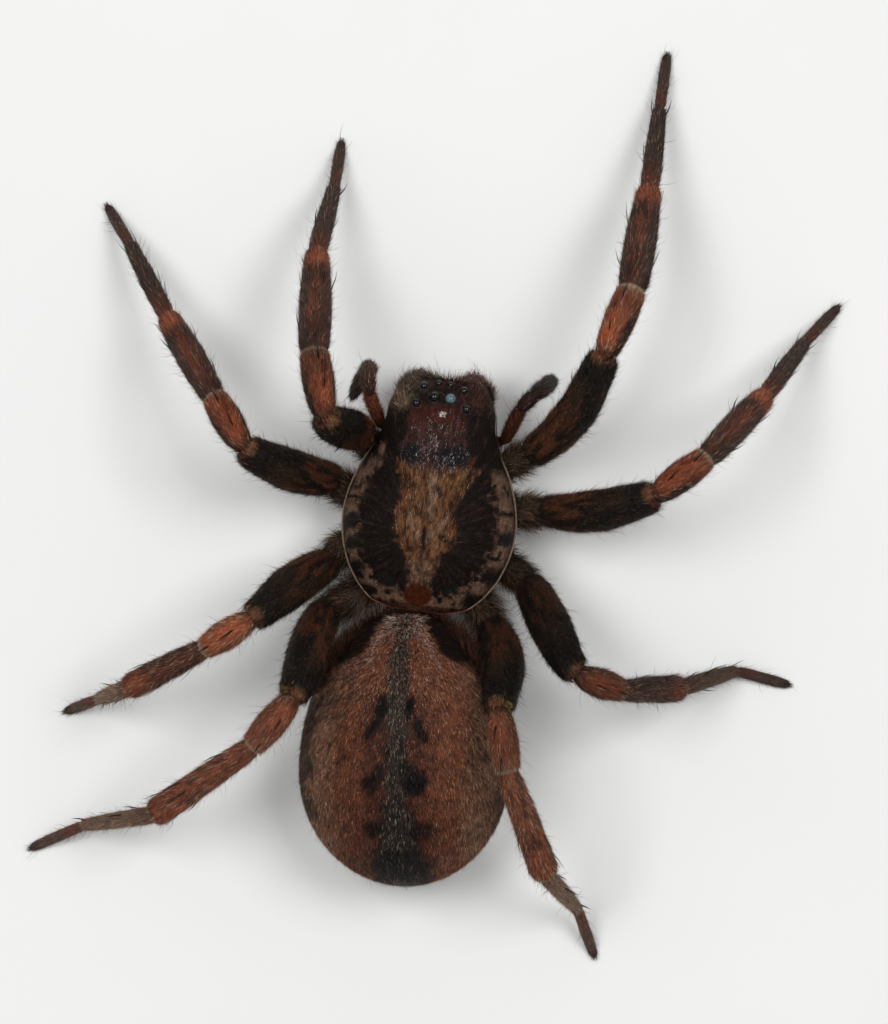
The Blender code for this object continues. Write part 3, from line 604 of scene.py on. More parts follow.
def legColour(kind, t, angle, pair, front):
    # base colour of a leg's piece and the share of pale hairs. angle: 90 degrees is the leg's back
    top, across = np.sin(angle), np.cos(angle)
    ahead = across * front
    shape = np.broadcast(t, angle)
    grid = np.stack(np.broadcast_arrays(across * 0.5, top * 0.5, t * 0.9 + pair), -1)
    streak = cloud(grid, 0.09, pair)
    broad = cloud(grid, 0.4, pair + 9)
    c = legInk
    base = np.zeros(shape.shape + (3,)) + c["black"]
    pale = np.zeros(shape.shape)
    sides = soft(np.abs(across), 0.40, 0.90)
    if kind == "coxa":
        base = filled(base, c["coxaDark"])
        base = blendTo(base, c["coxa"], 0.8 * soft(broad, 0.35, 0.65))
        base = blendTo(base, c["trochanter"], 0.7 * band(t, 0.66, 0.86, 0.04) * soft(streak, 0.35, 0.6))
        base = blendTo(base, c["black"], 0.6 * band(t, 0.86, 0.93, 0.02))
        base = blendTo(base, c["membrane"], 0.45 * band(t, 0.575, 0.625, 0.015) + 0.3 * soft(t, 0.975, 0.99))
        pale = pale + (0.30 if pair < 4 else 0.16)
    elif kind == "femur":
        arcs = band(t, 0.012, 0.026, 0.006) + 0.7 * band(t, 0.05, 0.065, 0.006)
        red = band(t, 0.07, 0.60 - 0.14 * ahead, 0.10) * soft(streak + 0.25 * ahead, 0.38, 0.66)
        red = red * soft(top, -0.3, 0.3)
        base = blendTo(base, c["brown"], 0.6 * band(t, 0.02, 0.80, 0.08) * soft(broad, 0.40, 0.7))
        base = blendTo(base, c["femurRed"], 0.8 * red)
        base = blendTo(base, c["trochanter"], 0.45 * arcs)
        knee = 0.55 * soft(t, 0.962, 0.978) * band(ahead, -0.40, 0.50, 0.12) * soft(top, 0.2, 0.5)
        base = blendTo(base, c["knee"], 0.75 * knee)
        pale = pale + 0.09 + 0.7 * knee
    elif kind == "patella":
        bright = {1: 1.12, 2: 1.0, 3: 1.12, 4: 1.0}[pair]
        base = filled(base, c["rust"] * bright)
        base = blendTo(base, c["greyBrown"], 0.12 * (pair == 4))
        base = blendTo(base, c["rustDark"], 0.45 * soft(streak, 0.50, 0.72))
        bandEnd = {1: 0.58, 2: 0.80, 3: 0.80, 4: 0.60}[pair]
        glowing = band(ahead + 0.3 * (streak - 0.5), -0.3, 0.45, 0.25) * band(t, 0.15, bandEnd, 0.15)
        base = blendTo(base, c["orange"] * bright, (0.45 if pair == 4 else 0.95) * glowing)
        if pair == 1:
            base = blendTo(base, c["brown"], 0.40 * soft(t + 0.3 * (streak - 0.5), 0.50, 0.75))
        base = blendTo(base, c["brown"], 0.8 * (1 - soft(t + 0.16 * (streak - 0.5), 0.03, 0.20)))
        edges = soft(np.abs(across + 0.25 * (streak - 0.5)), 0.60, 0.92)
        base = blendTo(base, c["black"], (0.92 if pair < 3 else 0.4) * (1 - soft(t, 0.50, 0.90)) * edges)
        base = blendTo(base, c["black"], (0.6 if pair < 3 else 0.15)
                       * spot(t, ahead, (0.68, 0.22), (0.07, 0.20), edge=0.6) * (top > 0))
        base = blendTo(base, c["greyBrown"],
                       0.6 * soft(t + 0.06 * (streak - 0.5), 0.86, 0.94) * soft(top, -0.2, 0.4))
        base = blendTo(base, c["rustDark"], 0.6 * soft(-top, -0.2, 0.6))
        base = blendTo(base, c["paleEdge"], 0.9 * soft(t, 0.955, 0.968) * soft(top, -0.3, 0.3))
        # pale hairs on the back of the patella, more on the third and fourth pairs: partly the leg's own
        # pale hair, partly painted highlight for the sheen on top
        share = {1: 0.20, 2: 0.16, 3: 0.36, 4: 0.32}[pair]
        pale = pale + share * soft(top, -0.6, 0.2) + 0.35 * soft(t, 0.88, 0.95)
    elif kind == "tibia":
        if pair < 3:
            base = filled(base, c["rustDark"])
            base = blendTo(base, c["rust"], 0.50 * band(ahead, -0.60, 0.10, 0.2) * band(t, 0.15, 0.85, 0.15))
            grey = np.clip(0.75 * sides + 0.5 * soft(streak, 0.46, 0.62), 0, 1) * (1 - soft(t, 0.70, 0.84))
            base = blendTo(base, c["grey"], grey)
            base = blendTo(base, c["black"], 0.35 * soft(streak, 0.62, 0.8) * (1 - soft(t, 0.70, 0.84)))
            base = blendTo(base, c["black"], 0.6 * (1 - soft(t, 0.06, 0.28)) * soft(broad, 0.3, 0.6))
            base = blendTo(base, c["black"], 0.45 * band(t, 0.62, 0.76, 0.06) * soft(broad, 0.35, 0.6))
            base = blendTo(base, c["rust"] * 1.30, 0.95 * soft(t, 0.76, 0.85) * (1 - 0.5 * sides))
            pale = pale + 0.10
        elif pair == 3:
            base = filled(base, c["rustDark"])
            base = blendTo(base, c["rust"],
                           0.9 * soft(t + 0.1 * (streak - 0.5), 0.50, 0.75) * (1 - 0.5 * sides))
            base = blendTo(base, c["black"], np.clip(0.6 * sides + 0.6 * soft(streak, 0.48, 0.64), 0, 1)
                           * (0.80 - 0.55 * soft(t, 0.60, 0.8)))
            pale = pale + 0.26
        else:
            base = blendTo(filled(base, c["rust"] * 1.08), c["greyBrown"], 0.08)
            base = blendTo(base, c["rustDark"], 0.7 * soft(streak, 0.46, 0.60))
            base = blendTo(base, c["black"], 0.45 * soft(streak, 0.60, 0.74))
            base = blendTo(base, c["orange"], 0.5 * soft(t, 0.55, 0.8) * soft(0.6 - streak, 0.0, 0.2))
            base = blendTo(base, c["grey"], 0.5 * sides * soft(streak, 0.3, 0.6))
            pale = pale + 0.30
        base = blendTo(base, c["paleEdge"], 0.7 * soft(t, 0.955, 0.968) * (pair > 2))
        lobes = soft(t, 0.93, 0.95) * soft(top, 0.0, 0.4) * soft(np.abs(across), 0.15, 0.35)
        base = blendTo(base, c["black"], 0.6 * lobes)
    elif kind == "metatarsus":
        base = filled(base, c["grey"] * 1.05 if pair < 3 else c["greyBrown"] * 1.12)
        base = blendTo(base, c["black"], (0.45 if pair < 3 else 0.2) * sides)
        base = blendTo(base, c["rustDark"], (0.9 if pair < 3 else 0.5) * (1 - soft(t, 0.08, 0.34)))
        base = blendTo(base, c["black"], 0.35 * soft(streak, 0.55, 0.75))
        pale = pale + (0.14 if pair < 3 else 0.35)
    else:
        base = filled(base, c["grey"] * (1.15 if pair < 3 else 1.9))
        base = blendTo(base, c["rustDark"] * (1.0 if pair < 3 else 1.5), 0.7 * (1 - soft(t, 0.15, 0.45)))
        base = blendTo(base, c["black"], 0.5 * soft(t, 0.80, 0.95))
        pale = pale + 0.10
    # each piece darker on its underside: painted shade
    base = blendTo(base, base * 0.6, soft(-top, 0.1, 0.8) * 0.6)
    return base * (0.74 + 0.52 * streak)[..., None], pale


def legRows(line, pair):        # distance, piece, place in the piece and skin radius of each ring of a leg
    m = line["marks"]
    ends = [m[0], m[2] - leg["femurBeforeHip"], m[5], m[6], m[7], m[8], m[10]]
    rows = {"s": [], "kind": [], "t": [], "radius": []}
    for k, kind in enumerate(pieceNames):
        low = ends[k] + (leg["jointGap"] if k else 0.0)
        high = ends[k + 1] - (leg["jointGap"] if k < 5 else 0.0)
        t = eased(max(12, int((high - low) / leg["rowStep"])), 0.55)
        girth = through(girths[kind][pair], t) * along(pieceForm[kind], t)
        rows["s"].append(low + (high - low) * t)
        rows["kind"].append(np.full(len(t), k))
        rows["t"].append(t)
        rows["radius"].append(girth - coatDepth[kind])
    return {key: np.concatenate(value) for key, value in rows.items()}


hairStyle = {
    "coxa": {"length": 0.40, "spread": 0.35, "width": 0.014, "lift": 36, "liftSpread": 12, "sway": 24,
             "bent": True},
    "femur": {"length": 0.29, "spread": 0.30, "width": 0.0150, "lift": 20, "liftSpread": 9, "sway": 9},
    "patella": {"length": 0.25, "spread": 0.30, "width": 0.0135, "lift": 20, "liftSpread": 9, "sway": 9},
    "tibia": {"length": 0.26, "spread": 0.30, "width": 0.0135, "lift": 20, "liftSpread": 9, "sway": 9},
    "metatarsus": {"length": 0.23, "spread": 0.30, "width": 0.0130, "lift": 20, "liftSpread": 9, "sway": 10},
    "tarsus": {"length": 0.17, "spread": 0.25, "width": 0.0130, "lift": 24, "liftSpread": 10, "sway": 13},
}


def makeLeg(name, pose, number):
    pair = pose["pair"]
    front = 1 if pose["hip"][0] > 0 else -1
    rng = np.random.default_rng(100 + number)
    g = girths
    bends = [*g["coxa"][pair], g["femur"][pair][1], g["femur"][pair][1], g["femur"][pair][2],
             g["patella"][pair][2], g["tibia"][pair][2], g["metatarsus"][pair][2],
             g["tarsus"][pair][2], g["tarsus"][pair][2]]
    line = bentLine(legCorners(pose), bends)
    rows = legRows(line, pair)
    angle = turns(leg["sides"])
    rings = tubeRings(line, rows["s"], rows["radius"], leg["sides"])
    rings[..., 2] = np.maximum(rings[..., 2], skinAboveFloor)
    # painted light and shade of this leg, one factor a piece
    paintedLighting = [pose.get("tone", 1.0)] * 6
    for kind, share in (("femur", "femurPaintedLighting"), ("patella", "glow"), ("metatarsus", "metatarsusPaintedLighting")):
        paintedLighting[pieceNames.index(kind)] *= pose.get(share, 1.0)
    tint = np.zeros(rings.shape)
    for k, kind in enumerate(pieceNames):
        own = rows["kind"] == k
        colour, _ = legColour(kind, rows["t"][own][:, None], angle[None], pair, front)
        tint[own] = colour * leg["skinTone"] * paintedLighting[k]
    knee = 1 - soft(np.abs(rows["s"] - line["marks"][5] + 0.02), 0.03, 0.10)
    tint = blendTo(tint, legInk["rustDark"] * 0.6, 0.8 * knee[:, None] * np.ones(leg["sides"]))
    soreSide = soft(np.cos(angle) * front, 0.78, 0.90) * soft(np.sin(angle), -0.6, -0.1)
    tint = blendTo(tint, legInk["yellow"], 0.75 * knee[:, None] * soreSide)
    nodes = [f"{name}_{kind}" for kind in ("coxa", "femur", "patella", "tibia", "foot")]
    addSkin(f"{name}_skin", rings, tint, "skin", nodes)

    for k, kind in enumerate(pieceNames):
        own = np.flatnonzero(rows["kind"] == k)
        low, high = own[0], own[-1] + 1
        weight = np.zeros((len(rings) - 1, leg["sides"]))
        weight[low:high - 1] = (0.72 if kind == "coxa" else 1.0) * (1 - 0.4 * soft(-np.sin(angle), 0.2, 0.8))
        if kind in ("patella", "tibia"):
            weight[low:high - 1] *= (1 - soft(rows["t"][low:high - 1], 0.975, 0.99))[:, None]
        roots = rootsOn(rings, leg["hairPerArea"], rng, weight)
        t = np.interp(roots["row"], own, rows["t"][own])
        colour, pale = legColour(kind, t, 2 * np.pi * roots["turn"], pair, front)
        draw = rng.random(len(t))
        paleInk = legInk[{"femur": "olive", "coxa": "coxaFuzz"}.get(kind, "gold")]
        colour = blendTo(colour, paleInk, (draw < pale) * 0.65)
        if kind == "femur":
            colour = blendTo(colour, legInk["knee"], ((t > 0.94) & (draw < pale)) * 0.6)
        if kind in ("patella", "tibia"):
            colour = blendTo(colour * 1.10, legInk["black"], (draw > 0.84) * 0.75)
        contrast = 0.46 if kind in ("patella", "tibia") else 0.36
        fringe = 1 - 0.55 * soft(t, 0.93, 0.98) * (kind in ("patella", "tibia"))
        fringe = fringe + 0.35 * (kind == "coxa" and pair == 4)
        growHair(f"{name}_{kind}_hair", roots, roots["ahead"], hairStyle[kind],
                 vary(colour * paintedLighting[k], rng, contrast), rng, reach=fringe)
    addLegBristles(name, rings, rows, rng)
    addClaws(name, line)


longHair = {"perArea": 13.0, "length": 0.46, "spread": 0.40, "width": 0.0095, "lift": 44, "liftSpread": 14,
            "sway": 16, "droop": 22, "bent": True}
spine = {"length": 0.90, "spread": 0.12, "width": 0.062, "lift": 12, "liftSpread": 4, "sway": 5, "droop": 7,
         "bent": True}
backSpine = {**spine, "length": 0.82, "width": 0.052, "lift": 27}
spinePlaces = {                 # place along the piece and turn round it, in degrees: 90 is the back
    "tibia": ((0.20, 352), (0.20, 188), (0.40, 300), (0.40, 240), (0.60, 10), (0.60, 170), (0.84, 318),
              (0.84, 222), (0.58, 64)),
    "metatarsus": ((0.16, 320), (0.16, 220), (0.34, 10), (0.34, 170), (0.62, 305), (0.62, 235), (0.90, 350),
                   (0.90, 190)),
}
backSpinePlaces = {
    "femur": ((0.45, 95), (0.72, 60), (0.72, 125), (0.88, 92)),
    "patella": ((0.30, 90), (0.80, 90)),
}


def setSpines(name, rings, rows, places, style, rng):
    rowV = rowsV(rings)
    kept = {key: [] for key in ("place", "normal", "ahead", "turn", "v")}
    for kind, spots in places.items():
        own = np.flatnonzero(rows["kind"] == pieceNames.index(kind))
        for t, turn in spots:
            row = own[0] + np.searchsorted(rows["t"][own], t)
            j = int(round(turn / 360 * leg["sides"])) % leg["sides"]
            place = rings[row, j]
            kept["place"].append(place)
            kept["normal"].append(unit(place - rings[row].mean(0)))
            kept["ahead"].append(unit(rings[row + 1, j] - rings[row - 1, j]))
            kept["turn"].append(turn / 360)
            kept["v"].append(rowV[row])
    kept = {key: np.array(value, float) for key, value in kept.items()}
    colour = np.zeros(kept["place"].shape) + ink(34, 26, 22)
    growHair(name, kept, kept["ahead"], style, colour, rng, material="bristle")


def addLegBristles(name, rings, rows, rng):
    weight = np.ones((len(rings) - 1, leg["sides"]))
    weight[:np.searchsorted(rows["kind"], 1)] = 0
    roots = rootsOn(rings, longHair["perArea"], rng, weight)
    colour = np.zeros((len(roots["row"]), 3)) + legInk["grey"] * 0.8
    growHair(f"{name}_long_hair", roots, roots["ahead"], longHair, vary(colour, rng), rng,
             material="bristle")
    setSpines(f"{name}_spines", rings, rows, spinePlaces, spine, rng)
    setSpines(f"{name}_back_spines", rings, rows, backSpinePlaces, backSpine, rng)


def sweepSpikes(name, lines, girth, tint, material, sides=8, rowsEach=10):
    # curved tapered spikes, each closed, joined in one piece
    points, quads, tris, quadUv, triUv, tints = [], [], [], [], [], []
    base = 0
    for corners in lines:
        corners = np.asarray(corners, float)
        t = np.linspace(0, 1, rowsEach)
        centre = np.stack([through(corners[:, k], t) for k in range(3)], -1)
        line = {"points": centre, "lengths": t, "ahead": unit(np.gradient(centre, axis=0))}
        side = unit(np.cross(line["ahead"], (0.02, 0.01, 1.0)))
        line["side"] = side
        rings = tubeRings(line, t, girth * (1 - t ** 1.6 * 0.96), sides)
        p, f, uv, _ = closeRings(rings)
        points.append(p)
        quads.append(f[0] + base)
        tris.append(f[1] + base)
        quadUv.append(uv[0])
        triUv.append(uv[1])
        tints.append(filled(p, tint))
        base += len(p)
    return addMesh(name, np.concatenate(points), [np.concatenate(quads), np.concatenate(tris)],
                   [np.concatenate(quadUv), np.concatenate(triUv)], np.concatenate(tints),
                   materials[material])


def addClaws(name, line):
    tip, ahead = line["points"][-1], line["ahead"][-1]
    side = np.cross(ahead, (0, 0, 1))
    lines = []
    for way in (-1, 1):
        root = tip - ahead * 0.10 + side * way * 0.04 + np.array((0, 0, 0.03))
        lines.append([root, root + ahead * 0.10 + np.array((0, 0, 0.04)) + side * way * 0.01,
                      root + ahead * 0.18 + side * way * 0.015,
                      root + ahead * 0.20 + np.array((0, 0, -0.06)) + side * way * 0.015])
    sweepSpikes(f"{name}_claws", lines, 0.020, ink(40, 28, 22), "claw")


for number, (name, pose) in enumerate(poses.items()):
    makeLeg(name, pose, number)
    print("spider:", name, "done")


# Carapace

carapace = {
    "coatDepth": 0.05,
    "rimThick": 0.12,
    "rows": 200,
    "over": 132,
    "under": 24,
    "hairPerArea": 780,
    "fuzzPerArea": 420,
    "glintPerArea": 3000,
    "speckPerArea": 2600,
    "clypeusHairs": 900,
    "skinTone": 0.42,
}
carapaceShape = np.array((      # y, half width, rim height, top height, squareness, from the back forward
    (3.25, 0.95, 0.12, 0.35, 1.0),
    (3.05, 1.62, 0.08, 0.75, 1.0),
    (2.60, 2.10, 0.03, 1.20, 1.0),
    (2.00, 2.50, 0.00, 1.60, 1.0),
    (1.20, 2.79, 0.00, 1.95, 1.0),
    (0.30, 2.90, 0.00, 2.12, 1.0),
    (-0.60, 2.77, 0.00, 2.18, 1.0),
    (-1.50, 2.45, 0.05, 2.18, 0.95),
    (-2.20, 2.07, 0.15, 2.18, 0.80),
    (-2.90, 1.87, 0.30, 2.17, 0.65),
    (-3.50, 1.80, 0.45, 2.08, 0.60),
    (-4.00, 1.58, 0.60, 1.82, 0.60),
    (-4.30, 1.30, 0.70, 1.50, 0.65),
    (-4.42, 1.00, 0.80, 1.25, 0.70),
))
eyes = {                        # x, y and radius in the carapace's own place
    "posterior_median": (0.27, -3.80, 0.18),
    "posterior_lateral": (0.83, -3.53, 0.15),
    "anterior_lateral": (0.66, -4.12, 0.14),
    "anterior_median": (0.20, -4.26, 0.11),
}


def shellAt(y):
    place = np.interp(-y, -carapaceShape[:, 0], np.arange(len(carapaceShape))) / (len(carapaceShape) - 1)
    return [through(carapaceShape[:, k], place) for k in range(1, 5)]


def groove(x, y, start, end, width, depth):  # depth of a soft furrow along a line
    (ax, ay), (bx, by) = start, end
    dx, dy = bx - ax, by - ay
    t = np.clip(((x - ax) * dx + (y - ay) * dy) / (dx * dx + dy * dy), 0, 1)
    away = np.hypot(x - ax - t * dx, y - ay - t * dy)
    return depth * np.exp(-(away / width) ** 2) * np.sin(np.pi * (0.15 + 0.7 * t))


def shellRelief(x, y):
    down = groove(x, y, (0.03, 0.35), (0.03, 1.25), 0.07, 0.16)
    for side in (-1, 1):
        down += groove(x, y, (side * 0.15, 0.45), (side * 1.55, -1.9), 0.16, 0.10)
        down += groove(x, y, (side * 1.45, -1.7), (side * 2.05, -2.7), 0.18, 0.10)
        for turn in (-20, 12, 42, 70):
            a = math.radians(turn)
            start = (side * 0.55 * math.cos(a), 0.8 + 0.55 * math.sin(a))
            end = (side * 2.5 * math.cos(a), 0.8 + 2.1 * math.sin(a))
            down += groove(x, y, start, end, 0.13, 0.055)
    for ex, ey, size in eyes.values():
        for side in (-1, 1):
            away = np.hypot(x - side * ex, y - ey)
            down -= 0.06 * np.exp(-((away - size * 1.15) / 0.06) ** 2)
    return down


def carapaceRings():
    y = carapaceShape[0, 0] + (carapaceShape[-1, 0] - carapaceShape[0, 0]) * eased(carapace["rows"], 0.6)
    half, rim, top, square = [v[:, None] for v in shellAt(y)]
    depth = carapace["coatDepth"]
    half = half - depth
    top = np.maximum(top - depth, rim + 0.05)
    angle = np.pi * np.arange(carapace["over"] + 1) / carapace["over"]
    c, s = np.cos(angle), np.sin(angle)
    x = half * np.sign(c) * np.abs(c) ** square
    z = rim + (top - rim) * np.abs(s) ** square
    yy = np.repeat(y[:, None], x.shape[1], 1)
    edge = soft(1 - np.abs(x) / half, 0.0, 0.12)
    z = z - shellRelief(x, yy) * edge
    overRings = np.stack([x, yy, z], -1)
    turn = np.pi * np.arange(carapace["under"] + 1) / carapace["under"]
    xu = -(half - carapace["rimThick"]) * np.cos(turn)
    yu = np.repeat(y[:, None], xu.shape[1], 1)
    zu = np.repeat(rim - carapace["rimThick"] + 0.03, xu.shape[1], 1)
    return np.concatenate([overRings, np.stack([xu, yu, zu], -1)], 1)


shellInk = {
    "black": ink(39, 30, 26), "purple": ink(88, 57, 52), "red": ink(96, 46, 34),
    "blueBlack": ink(28, 32, 36), "glintLavender": ink(222, 208, 214), "gold": ink(138, 94, 64),
    "goldBright": ink(146, 102, 58), "pink": ink(190, 154, 130), "submargin": ink(184, 142, 116),
    "rim": ink(136, 114, 98), "disc": ink(98, 44, 22), "rusty": ink(112, 58, 38),
    "olive": ink(132, 114, 94), "green": ink(30, 38, 32), "eyeRing": ink(86, 80, 76),
    "speck": ink(250, 236, 226), "cheek": ink(104, 66, 58),
}
bandEdges = {                   # of the pale middle band: y, left edge, right edge
    "y": (-3.9, -3.3, -2.8, -2.3, -1.9, -1.5, -1.2, -0.9, -0.5, -0.1, 0.15, 0.6, 1.1, 1.55, 2.05, 2.35, 2.9),
    "left": (0.95, 0.92, 1.05, 1.02, 1.20, 1.22, 1.12, 1.02, 0.92, 0.95, 1.14, 0.96, 0.84, 0.56, 0.38, 0.36,
             0.36),
    "right": (0.75, 0.70, 0.85, 0.95, 1.20, 1.42, 1.42, 1.25, 0.92, 0.82, 0.88, 1.08, 0.80, 0.50, 0.36, 0.33,
              0.33),
}
carapaceMarks = {               # places in the carapace's own frame
    "scallops": ((2.56, 0.62, 0.34, 0.26), (2.42, 1.30, 0.24, 0.24), (2.20, 2.16, 0.30, 0.34),
                 (2.62, -0.22, 0.5, 0.07), (1.75, 2.78, 0.3, 0.22), (-2.62, 0.55, 0.32, 0.24),
                 (-2.50, -0.26, 0.5, 0.07), (-2.30, 1.85, 0.34, 0.34), (-2.25, 1.25, 0.34, 0.08),
                 (-1.75, 2.72, 0.34, 0.26)),
    "blueBlack": ((0.84, -1.80, 0.42, 0.34), (-0.66, -1.90, 0.56, 0.34)),
    "rusty": ((1.40, -1.60, 0.16, 0.50), (-1.38, -1.80, 0.20, 0.30)),
    "speck": ((0.05, -3.23), (0.085, 0.085)),
}


def marginDistance(x, y):       # distance from places on the carapace to its edge
    ys = np.linspace(carapaceShape[-1, 0], carapaceShape[0, 0], 170)
    half = shellAt(ys)[0]
    rear = np.linspace(-half[-1], half[-1], 21)
    edge = np.concatenate([np.stack([half, ys], -1), np.stack([-half, ys], -1),
                           np.stack([rear, np.full(21, carapaceShape[0, 0])], -1)])
    away = np.full(np.shape(x), 9.0)
    for ex, ey in edge:
        away = np.minimum(away, np.hypot(x - ex, y - ey))
    return away


def lineMask(x, y, start, end, width):
    (ax, ay), (bx, by) = start, end
    dx, dy = bx - ax, by - ay
    t = np.clip(((x - ax) * dx + (y - ay) * dy) / (dx * dx + dy * dy), 0, 1)
    return np.exp(-(np.hypot(x - ax - t * dx, y - ay - t * dy) / width) ** 2)


def shellColour(x, y, z, paleShare=1.0):
    # colour of the carapace, and how long and how dense its hair is there, and where the bands lie
    places = np.stack([x, y, z], -1)
    fine = cloud(places * np.array((1.0, 0.35, 1.0)), 0.05, 3)
    broad = cloud(places, 0.5, 5)
    wobble = (cloud(places, 0.16, 8) - 0.5) * 0.40
    left = np.interp(y, bandEdges["y"], bandEdges["left"])
    right = np.interp(y, bandEdges["y"], bandEdges["right"])
    inside = np.minimum(left - x, right + x)
    middle = soft(inside + wobble, -0.07, 0.07)
    away = marginDistance(x, y)
    c = shellInk
    base = filled(places, c["black"])
    # fine pale rays on the dark flanks
    rays = soft(np.sin(np.arctan2(y - 0.8, x) * 46 + 5 * wobble), 0.60, 0.98)
    rays = rays * soft(np.hypot(x, y - 0.8), 0.9, 1.6)
    base = blendTo(base, c["purple"], 0.55 * rays * soft(fine, 0.35, 0.6))
    # pale scalloped band inside the rim
    pale = band(away, 0.09, 0.58 + 1.3 * wobble, 0.12) * soft(y, -1.75, -1.35)
    pale = pale * soft(cloud(places, 0.22, 33), 0.20, 0.50)
    for sx, sy, rx, ry in carapaceMarks["scallops"]:
        pale = pale * (1 - spot(x + 0.5 * wobble, y + 0.3 * wobble, (sx, sy), (rx, ry), edge=0.4))
    pale = np.maximum(pale, spot(x, y, (1.79, -1.88), (0.12, 0.24), 0, 0.4))
    base = blendTo(base, c["submargin"], 0.9 * pale * paleShare)
    # thorax part of the band
    thorax = blendTo(filled(places, c["gold"]), c["goldBright"], spot(x, y, (-0.75, -1.15), (0.6, 0.36)))
    thorax = blendTo(thorax, c["rusty"], 0.85 * (1 - soft(inside + wobble, 0.0, 0.38)))
    tufted = cloud(places * np.array((1.0, 0.35, 1.0)), 0.08, 21)
    thorax = blendTo(thorax, c["gold"] * 1.40, 0.7 * soft(tufted, 0.46, 0.30))
    thorax = blendTo(thorax, c["black"], 0.80 * soft(tufted, 0.5, 0.68))
    streak = band(x + 0.08, -0.13, 0.13, 0.05) * soft(y, -1.5, -1.0) * (1 - soft(y, 0.1, 0.4))
    vee = np.maximum(lineMask(x, y, (0.03, 1.05), (0.62, 0.25), 0.09),
                     lineMask(x, y, (0.03, 1.05), (-0.62, 0.15), 0.09))
    thorax = blendTo(thorax, c["pink"], np.clip(0.6 * streak + 0.75 * vee + 0.5 * soft(y, 1.3, 1.9), 0, 1)
                     * (0.4 + 0.6 * soft(tufted, 0.65, 0.4)))
    # head part
    head = filled(places, c["purple"])
    head = blendTo(head, c["red"], 1 - soft(y, -3.2, -2.5))
    head = blendTo(head, c["black"], 0.6 * soft(tufted, 0.45, 0.7))
    for sx, sy, rx, ry in carapaceMarks["blueBlack"]:
        mark = spot(x + 0.9 * wobble, y + 0.6 * wobble, (sx, sy), (rx, ry), edge=0.4)
        head = blendTo(head, c["blueBlack"], 0.9 * mark)
    for sx, sy, rx, ry in carapaceMarks["rusty"]:
        head = blendTo(head, c["rusty"], spot(x, y, (sx, sy), (rx, ry)))
    pattern = blendTo(head, thorax, soft(y + 0.25 * np.abs(x) + wobble, -1.40, -1.10))
    base = blendTo(base, pattern, middle)
    pit = np.maximum(lineMask(x, y, (0.07, 0.52), (0.02, 1.15), 0.075),
                     0.7 * lineMask(x, y, (0.02, 1.1), (0.03, 1.75), 0.04))
    base = blendTo(base, c["black"] * 0.6, 0.95 * np.clip(1.6 * pit, 0, 1))
    disc = spot(x, y, (0.04, 2.74), (0.46, 0.38), edge=0.12)
    base = blendTo(base, c["disc"], disc)
    furrow = spot(x, y, (1.05, 2.35), (0.34, 0.15), -35) + spot(x, y, (-0.95, 2.45), (0.34, 0.15), 35)
    base = blendTo(base, c["green"], 0.8 * furrow)
    base = blendTo(base, c["rusty"] * 0.6, 0.6 * soft(y, 2.9, 3.15) * (1 - disc))
    base = blendTo(base, c["black"], 0.9 * (1 - soft(y + 0.15 * wobble, -3.62, -3.42)))
    cheek = spot(x, y, (1.26, -3.55), (0.34, 0.24), 40, 0.5)
    cheek = cheek + 0.6 * spot(x, y, (1.0, -4.1), (0.6, 0.3), 20, 0.5)
    base = blendTo(base, c["olive"], 0.8 * cheek.clip(0, 1) * soft(broad + wobble, 0.2, 0.5))
    base = blendTo(base, c["cheek"],
                   0.7 * spot(x, y, (-1.10, -3.95), (0.6, 0.45), 0, 0.5) * soft(fine, 0.3, 0.5))
    density = 1 - 0.97 * disc - 0.9 * furrow - 0.8 * pit
    density = density * soft(away, 0.07, 0.11) * (1 - 0.25 * soft(away, 0.7, 0.8) * (1 - middle))
    density = density * (1 - 0.35 * middle * (1 - soft(y, -1.8, -1.3)))
    for ex, ey, size in eyes.values():
        for side in (-1, 1):
            ring = np.hypot(x - side * ex, y - ey) / size
            density = density * soft(ring, 1.04, 1.14)
            base = blendTo(base, c["eyeRing"], 0.6 * band(ring, 1.0, 1.20, 0.05))
    speck = spot(x, y, *carapaceMarks["speck"], edge=0.5)
    density = density * (1 - soft(speck, 0.3, 0.6))
    length = (1 - 0.35 * soft(-y, 2.6, 3.3)) * (1 - 0.45 * (1 - soft(away, 0.4, 0.8)))
    shade = base * (0.55 + 0.90 * fine)[..., None]
    return shade, length, density.clip(0, 1), middle, pale


def growFuzz(weight, rings, rng):
    # raised hair on the front of the head and the cheeks, forwards and outwards
    roots = rootsOn(rings, carapace["fuzzPerArea"], rng, weight)
    p = into(prosoma, roots["place"])
    x, y = p[:, 0], p[:, 1]
    tint = filled(p, shellInk["cheek"] * 0.75)
    tint = blendTo(tint, shellInk["olive"], soft(x + 0.5 * (cloud(p, 0.3, 4) - 0.5), 0.15, 0.5))
    tint = blendTo(tint, shellInk["black"], 0.9 * soft(cloud(p, 0.12, 61), 0.38, 0.58))
    tint = blendTo(tint, shellInk["submargin"] * 0.8,
                   0.75 * spot(x, y, (1.34, -3.50), (0.20, 0.36), 30, 0.7))
    tint = blendTo(tint, shellInk["black"], 0.85 * (1 - soft(np.abs(x), 0.7, 1.0)) * soft(y, -4.2, -4.0))
    tint = blendTo(tint, shellInk["black"], 0.8 * soft(y, -3.45, -3.15))
    lie = np.stack([0.35 * x, -np.ones(len(x)), np.zeros(len(x))], -1) @ prosoma[0].T
    style = {"length": 0.19, "spread": 0.40, "width": 0.012, "lift": 32, "liftSpread": 14, "sway": 26,
             "bent": True}
    reach = 1 + 0.3 * soft(-y, 3.9, 4.3) + 0.8 * soft(-y, 4.15, 4.3) * (1 - soft(np.abs(x), 0.6, 0.9))
    growHair("carapace_fuzz", roots, lie, style, vary(tint, rng, 0.40, 0.3), rng, reach=reach)


